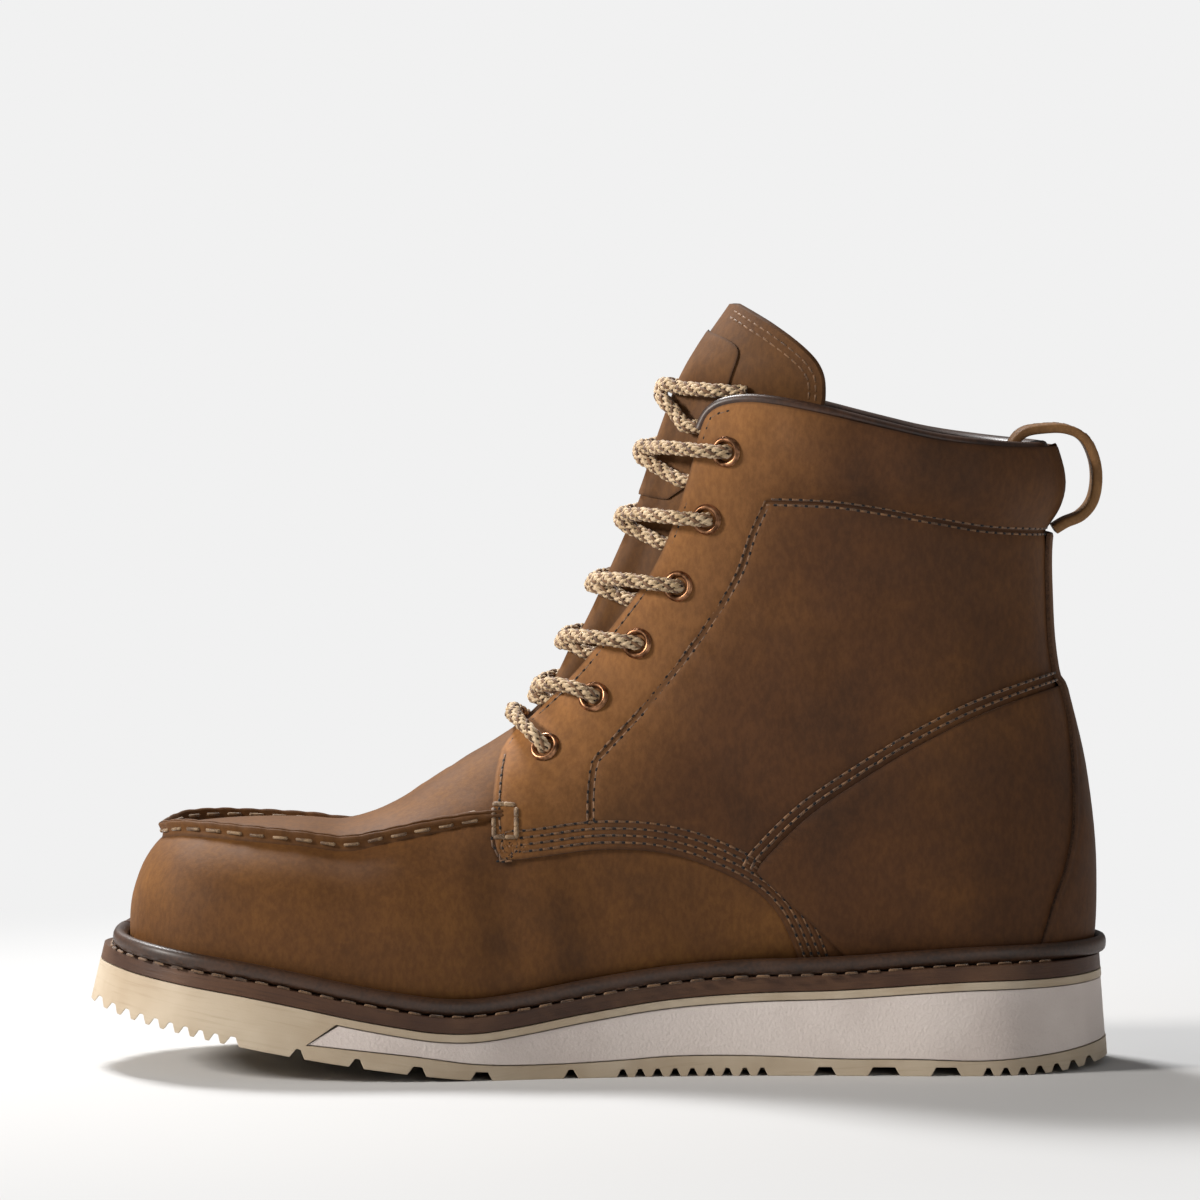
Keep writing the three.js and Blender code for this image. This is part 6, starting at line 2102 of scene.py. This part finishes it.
@dataclass
class Laces(SubAssembly):
    """The round braided lace: one bar and six crossings over the tongue."""

    eyelets: Eyelets
    diameter: float = 4.6
    turn_length: float = 17.0
    carriers: int = 12
    wave: float = 0.24
    carrier: tuple[float, float] = (0.62, 0.36)
    core_gap: float = 0.1
    hidden_lift: float = -4.9

    def ridge(self, height: float) -> float:
        """The section whose top lies at a height."""
        low, high = np.array([12.0]), np.array([float(self.last.end)])
        return float(halved(low, high, lambda t: self.last.row(t)[:, 1] < height)[0])

    def strand(
        self, start: tuple[np.ndarray, float, float], ridge: tuple[float, float],
        end: tuple[np.ndarray, float, float], side: Side, dives: tuple[bool, bool]
    ) -> np.ndarray:
        """Path of one strand, from a place on one side over the ridge to one on the other.

        Args:
            start: Point seen from the side, its lift, and the share that the lift is held for.
            ridge: Section of the crossing and the extra lift over the tongue there.
            end: The same as start, for the other side.
            side: Side that the strand starts on.
            dives: Whether each end goes down into an eyelet.

        Returns:
            Points at even steps.
        """
        spots = []
        steps = 9
        for (point, offset, hold), sign, reverse in ((start, 1, False), (end, -1, True)):
            place = self.last.locate(np.asarray(point)[None, :], Side.FAR)[0]
            part = []
            for i in range(steps + 1):
                s = i / steps
                t = place[0] + (ridge[0] - place[0]) * s
                angle = place[1] * (1 - s)
                spot = self.last.bare(np.array([[t, angle]]))[0]
                floor = float(tongue_face(self.last, spot)[0]) + 0.75 + self.diameter / 2 + ridge[1]
                eased = offset + (floor - offset) * float(smoothstep(hold, 1.0, s))
                at = np.array([[t, angle * side.value * sign]])
                spots_here = self.last.points(at, max(floor, eased))[0]
                part.append(spots_here)
            if dives[1 if reverse else 0]:
                at = np.array([[place[0], place[1] * side.value * sign]])
                base, normal = self.last.bare(at)[0][0], self.last.normal(at)[0]
                inward = [base + normal * lift for lift in (-2.0, 0.6, 2.3)]
                part = [*inward, *part[1:]]
            else:
                hidden = np.asarray(point) + [self.diameter * 2.2, 0.0]
                behind = self.last.locate(hidden[None, :], Side.FAR)[0]
                spot = np.array([[behind[0], behind[1] * side.value * sign]])
                part = [self.last.points(spot, self.hidden_lift)[0], *part]
            part = np.array(part)
            spots.append(part[::-1] if reverse else part)
        path = np.vstack([spots[0][:-1], spots[1]])
        path = centripetal(path, False, 12)
        return resample(path, arc_lengths(path), 0.4)

    def braid(self, name: str, paths: Sequence[np.ndarray], node: str) -> None:
        """Plaits the lace along paths as real strands over a core, whose dark colour is painted shade in the
        gaps between them.

        Args:
            name: Name of the piece.
            paths: Middle lines of its strands.
            node: CAD node that it stands for.
        """
        half_width, half_depth = self.carrier
        radius = self.diameter / 2 - half_width
        points, faces, numbers = [], [], []

        def tube(rings: np.ndarray, number: int) -> None:
            """Adds a closed tube over rings."""
            base = len(points)
            count, size = rings.shape[:2]
            points.extend(rings.reshape(-1, 3).tolist())
            for k in range(count - 1):
                for i in range(size):
                    j = (i + 1) % size
                    a = base + k * size
                    faces.append((a + i, a + j, a + size + j, a + size + i))
                    numbers.append(number)
            faces.append(tuple(base + i for i in range(size))[::-1])
            faces.append(tuple(base + (count - 1) * size + i for i in range(size)))
            numbers.extend((number, number))

        for path in paths:
            _, first, second = carried_frames(path)
            lengths = arc_lengths(path)
            ring = circle(8)
            spokes = np.cos(ring)[:, None] * first[::3, None] + np.sin(ring)[:, None] * second[::3, None]
            # The core shows only in the gaps: its dark colour is painted shade there.
            tube(path[::3, None] + spokes * (radius - self.core_gap), 2)
            for carrier in range(self.carriers):
                way = 1 if carrier % 2 else -1
                pair = carrier // 2
                turn = 2 * math.pi * (way * lengths / self.turn_length + pair / (self.carriers / 2))
                over = way * np.cos(math.pi * (lengths * self.carriers / self.turn_length + pair))
                out = np.cos(turn)[:, None] * first + np.sin(turn)[:, None] * second
                centre = path + out * (radius + self.wave * over)[:, None]
                flat = np.cross(heading(centre), out)
                corners = circle(5, 0.5)
                rings = (
                    centre[:, None, :]
                    + flat[:, None, :] * (half_width * np.cos(corners))[None, :, None]
                    + out[:, None, :] * (half_depth * np.sin(corners))[None, :, None]
                )
                tube(rings, 1 if carrier % 4 == 1 else 0)
        piece = make_object(name, np.array(points), faces)
        self.finishes.dress(piece, "lace_light", "lace_brown", "lace_gap_shade")
        if len(piece.data.polygons) == len(numbers):
            piece.data.polygons.foreach_set("material_index", numbers)
        piece.data.polygons.foreach_set("use_smooth", [True] * len(piece.data.polygons))
        settle(piece, [node])

    def under(self, distance: float, forward: float) -> tuple[np.ndarray, float, float]:
        """Place under the facing's edge where a strand comes out."""
        return self.eyelets.at(distance, -(forward + self.diameter / 2 + 0.6)), -3.0, 0.0

    def build(self) -> None:
        """Builds the bar and the crossings from the lowest eyelets up."""
        places = self.eyelets.places()
        raised = self.eyelets.overlay + 0.6 + 1.2 + self.diameter / 2
        label = self.last.height_of(LABEL_EDGE[-1]) - self.diameter

        def ridge(height: float) -> tuple[float, float]:
            """Crossing at a height, lifted where it lies on the label."""
            return self.ridge(height), 1.5 if height > label else 0.0

        bar = (places[0], raised, 0.6)
        bar_ridge = (self.ridge(places[0][1] + 0.35 * self.eyelets.pitch), self.eyelets.overlay)
        self.braid("lace_bar", [self.strand(bar, bar_ridge, bar, Side.NEAR, (True, True))], "lace_bar")
        for i in range(1, self.eyelets.count):
            low = self.under(self.eyelets.start + (i - 0.6) * self.eyelets.pitch, 0.0)
            high = (places[i], raised, 0.25)
            paths = [self.strand(low, ridge(places[i][1] - 1), high, side, (False, True))
                     for side in Side]
            self.braid(f"lace_cross_{i}", paths, f"lace_cross_{i}")
        top = self.eyelets.start + (self.eyelets.count - 1) * self.eyelets.pitch
        low = self.under(top + 0.2 * self.eyelets.pitch, 3.7)
        high = self.under(top + 0.6 * self.eyelets.pitch, 3.7)
        at = ridge(places[-1][1] + 0.9 * self.eyelets.pitch)
        paths = [self.strand(low, at, high, side, (False, False)) for side in Side]
        self.braid("lace_cross_6", paths, "lace_cross_6")


@dataclass
class Sole(SubAssembly):
    """Outsole, wedge, midsole, welt bead and footbed."""

    midsole: float = 4.6
    strip: float = 2.3
    tread: float = 4.8
    gap: float = 0.3
    wedge_front: float = -78.0
    wedge_lean: float = 9.0
    notch: tuple[float, float, float, float] = (2.4, 3.0, 1.6, 13.0)
    lug: tuple[float, float] = (2.6, 1.0)
    bead: tuple[float, float, float] = (5.0, 4.6, 3.0)
    last_stitch: float = 138.0
    narrowing: tuple[float, float] = (92.4, 144.8)
    counter_push: tuple[float, float, float] = (38.0, 58.0, 2.7)
    backstay_push: tuple[float, float, float] = (112.0, 136.0, 1.5)
    footbed_reach: float = 137.0

    def strip_top(self, x: np.ndarray) -> np.ndarray:
        """Height of the outsole's top."""
        return self.last.ground.seat(x) - self.midsole - self.gap

    def wedge_top(self, x: np.ndarray) -> np.ndarray:
        """Height of the wedge's top."""
        return self.strip_top(x) - self.strip - self.gap

    def tread_top(self, x: np.ndarray) -> np.ndarray:
        """Height of the tread's top under the wedge."""
        return self.tread * look_up(TREAD, np.asarray(x) / self.last.ground.length)

    def prism(
        self, name: str, outline: np.ndarray, low: float = -CUT_REACH, high: float = CUT_REACH
    ) -> bpy.types.Object:
        """Prism across the boot over an outline of x and z."""
        count = len(outline)
        near = np.column_stack([outline[:, 0], np.full(count, low), outline[:, 1]])
        far = np.column_stack([outline[:, 0], np.full(count, high), outline[:, 1]])
        faces = [tuple(range(count)), tuple(range(count, 2 * count))[::-1]]
        faces += [(i, i + count, (i + 1) % count + count, (i + 1) % count) for i in range(count)]
        piece = make_object(name, np.vstack([near, far]), faces)
        face_outwards(piece)
        return piece

    def body(self, inset: float = 0.0) -> bpy.types.Object:
        """The sole's plan form as a tall closed block."""
        rings = []
        for z in np.linspace(-6.0, CUT_REACH, 3):
            ring = self.last.ground.outline(z, inset)
            rings.append(np.column_stack([ring, np.full(len(ring), z)]))
        return loft("sole_block", np.array(rings))

    @staticmethod
    def combine(piece: bpy.types.Object, other: bpy.types.Object, operation: str) -> None:
        """Cuts or joins two closed pieces and removes the second."""
        modifier = piece.modifiers.new("cut", "BOOLEAN")
        modifier.operation = operation
        modifier.solver = "MANIFOLD"
        modifier.object = other
        graph = bpy.context.evaluated_depsgraph_get()
        graph.update()
        mesh = bpy.data.meshes.new_from_object(piece.evaluated_get(graph))
        piece.modifiers.clear()
        piece.data = mesh
        bpy.data.objects.remove(other)

    def edge(self, rule: Callable[[np.ndarray], np.ndarray], start: float, end: float) -> np.ndarray:
        """Points of a height line between two places along the boot."""
        x = np.linspace(start, end, max(2, int(abs(end - start) / 2.0)))
        return np.column_stack([x, rule(x)])

    def store_level(self, piece: bpy.types.Object) -> None:
        """Stores the height under the seat on each corner, for the streaks to follow the sole's line."""
        count = len(piece.data.vertices)
        points = np.empty(count * 3)
        piece.data.vertices.foreach_get("co", points)
        points = points.reshape(-1, 3)
        seat = self.last.ground.seat(points[:, 0] / MM) * MM
        set_attribute(piece, "level", points[:, 2] - seat)

    def cutter(
        self, x: float, mouth: float, root: float, depth: float,
        low: float = -CUT_REACH, high: float = CUT_REACH,
    ) -> bpy.types.Object:
        """A cutter for a notch or a gap in the tread, with a rounded root."""
        ground = self.last.ground
        floor = float(ground.floor(x))
        slope = float(ground.floor(x + 1) - ground.floor(x - 1)) / 2
        shape = [(-mouth / 2 - 1, -2), (mouth / 2 + 1, -2), (mouth / 2 + 0.35, -0.25), (mouth / 2, 0.35)]
        for k in range(5):
            turn = math.pi / 2 * k / 4
            shape.append((root / 2 - 0.6 * (1 - math.cos(turn)), depth - 0.6 * (1 - math.sin(turn))))
        shape += [(-dx, dz) for dx, dz in shape[:1:-1]]
        outline = np.array([(x + dx - slope * dz, floor + dz + slope * dx) for dx, dz in shape])
        return self.prism("tread_cutter", outline, low, high)

    def outsole(self) -> bpy.types.Object:
        """The cream rubber sole with its notches and gaps."""
        ground, end = self.last.ground, self.last.ground.length / 2 + 3
        front = float(self.wedge_front)
        foot = front - self.wedge_lean
        outline = np.vstack([
            self.edge(ground.floor, -end, ground.spring_start),
            self.edge(ground.floor, ground.bevel_start, end),
            self.edge(self.tread_top, end, foot),
            self.edge(lambda x: self.strip_top(x) - self.strip, front, end),
            self.edge(self.strip_top, end, -end),
        ])
        piece = self.prism("outsole", outline)
        self.combine(piece, self.body(), "INTERSECT")
        depth, mouth, root, reach = self.notch
        places, halves = np.array(SOLE_OUTLINE).T
        for start, pitch, count, across in NOTCH_ROWS:
            for i in range(count):
                x = (start + pitch * i) * ground.length
                if across:
                    self.combine(piece, self.cutter(x, mouth, root, depth), "DIFFERENCE")
                    continue
                inner = float(np.interp(x / ground.length, places, halves)) * ground.width - reach
                middle = float(ground.sway(x))
                for low, high in ((-CUT_REACH, middle - inner), (middle + inner, CUT_REACH)):
                    self.combine(piece, self.cutter(x, mouth, root, depth, low, high), "DIFFERENCE")
        for x, width in LUG_GAPS:
            wide = width * ground.length
            cut = self.cutter(x * ground.length, wide, wide - 2 * self.lug[1], self.lug[0])
            self.combine(piece, cut, "DIFFERENCE")
        return piece

    def wedge(self) -> bpy.types.Object:
        """The off-white foam wedge."""
        end = self.last.ground.length / 2 + 3
        foot = self.wedge_front - self.wedge_lean
        outline = np.vstack([
            self.edge(lambda x: self.tread_top(x) + self.gap, foot + 0.6, end),
            self.edge(self.wedge_top, end, self.wedge_front + 0.6),
        ])
        piece = self.prism("wedge", outline)
        self.combine(piece, self.body(0.25), "INTERSECT")
        return piece

    def slab(self) -> bpy.types.Object:
        """The brown midsole."""
        end = self.last.ground.length / 2 + 3
        seat = self.last.ground.seat
        low = self.edge(lambda x: seat(x) - self.midsole, -end, end)
        outline = np.vstack([low, self.edge(seat, end, -end)])
        piece = self.prism("midsole", outline)
        self.combine(piece, self.body(0.1), "INTERSECT")
        return piece

    def overlay_at(self, x: np.ndarray) -> np.ndarray:
        """How far the leather's layers push the bead out."""
        layers = (self.counter_push, self.backstay_push)
        return sum(smoothstep(start, end, x) * push for start, end, push in layers)

    def welt(self) -> None:
        """The rounded bead round the foot of the upper and its stitches."""
        tall, wide, narrow = self.bead
        rise = self.gap + tall / 2
        foot = [self.last.foot_line(self.gap + 0.8 * tall, side, 320) for side in Side]
        line = np.vstack([foot[0], foot[1][::-1][1:-1]])
        base, normal = self.last.bare(line)[0], self.last.normal(line)
        flat = normal[:, :2] / np.maximum(np.linalg.norm(normal[:, :2], axis=1), 0.3)[:, None] ** 2
        packed = np.column_stack([base, flat])
        for _ in range(30):
            lean = packed[:, 3:]
            packed[:, 3:] = (np.roll(lean, 1, axis=0) + 2 * lean + np.roll(lean, -1, axis=0)) / 4
        closed = np.vstack([packed, packed[:1]])
        packed = resample(closed, arc_lengths(closed[:, :3]), 1.3)[:-1]
        rings, tops = [], []
        for row in packed:
            lean = float(np.linalg.norm(row[3:]))
            unit = row[3:] / lean
            width = wide + (narrow - wide) * float(smoothstep(*self.narrowing, row[0]))
            out = float(self.overlay_at(row[0])) * lean + 0.6 + width / 2
            turn = circle(18)
            reach = out + np.sign(np.cos(turn)) * np.abs(np.cos(turn)) ** 0.85 * width / 2
            x = row[0] + unit[0] * reach
            y = row[1] + unit[1] * reach
            up = rise + np.sign(np.sin(turn)) * np.abs(np.sin(turn)) ** 0.85 * tall / 2
            z = self.last.ground.seat(x) + up
            rings.append(np.column_stack([x, y, z]))
            tops.append((row[0], row[1], unit[0], unit[1], out + width / 2))
        piece = loft("welt_bead", np.array(rings), closed=True)
        self.hand_over(piece, "welt_leather", 60.0, Slot.WELT, ["welt_bead"])
        self.welt_stitches(np.array(tops))

    def welt_stitches(self, tops: np.ndarray, pitch: float = 6.6) -> None:
        """Light stitches that stand between the bead and the midsole's edge."""
        spots = tops[:, :2] + tops[:, 2:4] * (tops[:, 4:] + 0.35)
        spots = np.column_stack([spots, self.last.ground.seat(spots[:, 0]) + 0.55])
        closed = np.vstack([spots, spots[:1]])
        lengths = arc_lengths(closed)
        wanted = np.arange(0, lengths[-1] - pitch / 2, pitch)
        wanted = wanted[np.interp(wanted, lengths, closed[:, 0]) < self.last_stitch]
        run = unit(read_at(wanted, lengths, np.gradient(closed, axis=0)))
        row = (read_at(wanted, lengths, closed), run, np.tile([0.0, 0.0, 1.0], (len(run), 1)))
        stitches = self.seams.sew("welt_stitches", [row], ThreadSize(4.2, 1.0, 0.8, 0.35), "welt_thread")
        settle(stitches)

    def footbed(self) -> None:
        """The insole inside the upper."""
        feet = [self.last.foot_line(4.3, side, 200) for side in Side]
        line = np.vstack([feet[0], feet[1][::-1][1:-1]])
        edge = self.last.points(line, -3.2)
        rings = []
        shape = ((1.0, 0.6), (1.0, 3.6), (0.985, 4.1), (0.9, 4.25), (0.6, 4.2), (0.3, 4.1), (0.02, 4.1))
        for share, height in shape:
            middle = self.last.ground.sway(edge[:, 0])
            y = middle + (edge[:, 1] - middle) * share
            x = np.clip(edge[:, 0], -self.footbed_reach * (0.9 + 0.1 * share), self.footbed_reach)
            rings.append(np.column_stack([x, y, self.last.ground.seat(x) + height]))
        piece = loft("insole", np.array(rings))
        self.hand_over(piece, "footbed_leather", 40.0, Slot.LINING, ["insole"])

    def build(self) -> None:
        """Builds and hands over every piece of the sole."""
        for node, piece, finish, slot in (
            ("outsole", self.outsole(), "cream_rubber", Slot.OUTSOLE),
            ("wedge", self.wedge(), "wedge_foam", Slot.WEDGE),
            ("midsole", self.slab(), "midsole_edge", Slot.MIDSOLE),
        ):
            self.store_level(piece)
            self.hand_over(piece, finish, 30.0, slot, [node])
        self.welt()
        self.footbed()


@dataclass
class Studio:
    """Camera, floor and lights of the photograph."""

    distance: float = 2.1
    height: float = 0.26
    aim: float = 0.1399
    focal: float = 208.6

    def area(self, name: str, place: Sequence[float], size: float, power: float, tint: str = "ffffff") -> None:
        """Adds a square soft light that looks at the boot."""
        light = bpy.data.lights.new(name, "AREA")
        light.size = size
        light.energy = power
        light.color = colour(tint)[:3]
        lamp = bpy.data.objects.new(name, light)
        lamp.location = place
        lamp.rotation_euler = (Vector((0, 0, 0.09)) - Vector(place)).to_track_quat("-Z", "Y").to_euler()
        bpy.context.scene.collection.objects.link(lamp)

    def build(self) -> None:
        """Sets up the floor, world, lights and camera."""
        floor_mesh = bpy.data.meshes.new("studio_floor")
        floor_mesh.from_pydata([(-8, -8, 0), (8, -8, 0), (8, 8, 0), (-8, 8, 0)], [], [(0, 1, 2, 3)])
        floor = bpy.data.objects.new("studio_floor", floor_mesh)
        bpy.context.scene.collection.objects.link(floor)
        material, graph = new_material("studio_floor")
        shader = graph.node("ShaderNodeBsdfDiffuse", {"Color": (0.58, 0.58, 0.58, 1.0)})
        glow = graph.node("ShaderNodeEmission", {"Color": colour("f1f1f1"), "Strength": 1.0})
        place = graph.node("ShaderNodeTexCoord").outputs["Object"]
        reach = graph.node("ShaderNodeVectorMath", {0: place}, operation="LENGTH").outputs["Value"]
        far = graph.ramp(reach, 0.16, 0.5)
        mixed = graph.node("ShaderNodeMixShader", {0: far, 1: shader.outputs[0], 2: glow.outputs[0]})
        graph.node("ShaderNodeOutputMaterial", {"Surface": mixed.outputs[0]})
        floor_mesh.materials.append(material)
        world = bpy.data.worlds.new("studio")
        world.use_nodes = True
        bpy.context.scene.world = world
        graph = Graph(world.node_tree)
        seen = graph.node("ShaderNodeBackground", {"Color": colour("f1f1f1"), "Strength": 1.0})
        soft = graph.node("ShaderNodeBackground", {"Color": colour("ffffff"), "Strength": 0.16})
        ray = graph.node("ShaderNodeLightPath").outputs["Is Camera Ray"]
        mixed = graph.node("ShaderNodeMixShader", {0: ray, 1: soft.outputs[0], 2: seen.outputs[0]})
        graph.node("ShaderNodeOutputWorld", {"Surface": mixed.outputs[0]})
        self.area("key", (-1.75, -0.6, 0.95), 0.4, 46.0, "fffaf4")
        self.area("fill", (0.9, -1.7, 0.35), 1.0, 5.0)
        self.area("top", (-0.5, 0.8, 1.4), 0.4, 34.0)
        camera_data = bpy.data.cameras.new("camera")
        camera_data.lens = self.focal
        camera_data.sensor_width = 36.0
        camera = bpy.data.objects.new("camera", camera_data)
        camera.location = (0, -self.distance, self.height)
        aim = Vector((0, 0, self.aim)) - camera.location
        camera.rotation_euler = aim.to_track_quat("-Z", "Y").to_euler()
        bpy.context.scene.collection.objects.link(camera)
        bpy.context.scene.camera = camera
        bpy.context.scene.view_settings.view_transform = "Standard"


def main() -> None:
    """Builds the boot's pieces in order and the studio round them."""
    logging.basicConfig(level=logging.INFO, format="%(message)s")
    for leftover in list(bpy.data.objects):
        bpy.data.objects.remove(leftover)
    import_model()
    finishes = Finishes()
    seams = Seams(finishes)
    last = Last(Ground())
    Sole(last, finishes, seams).build()
    upper = Upper(last, finishes, seams)
    upper.build()
    MocSeam(last, finishes, seams).build()
    Tongue(last, finishes, seams).build()
    Binding(last, finishes, seams, upper).build()
    PullLoop(last, finishes, seams).build()
    eyelets = Eyelets(last, finishes, seams)
    eyelets.build()
    Laces(last, finishes, seams, eyelets).build()
    Studio().build()


if __name__ == "__main__":
    main()
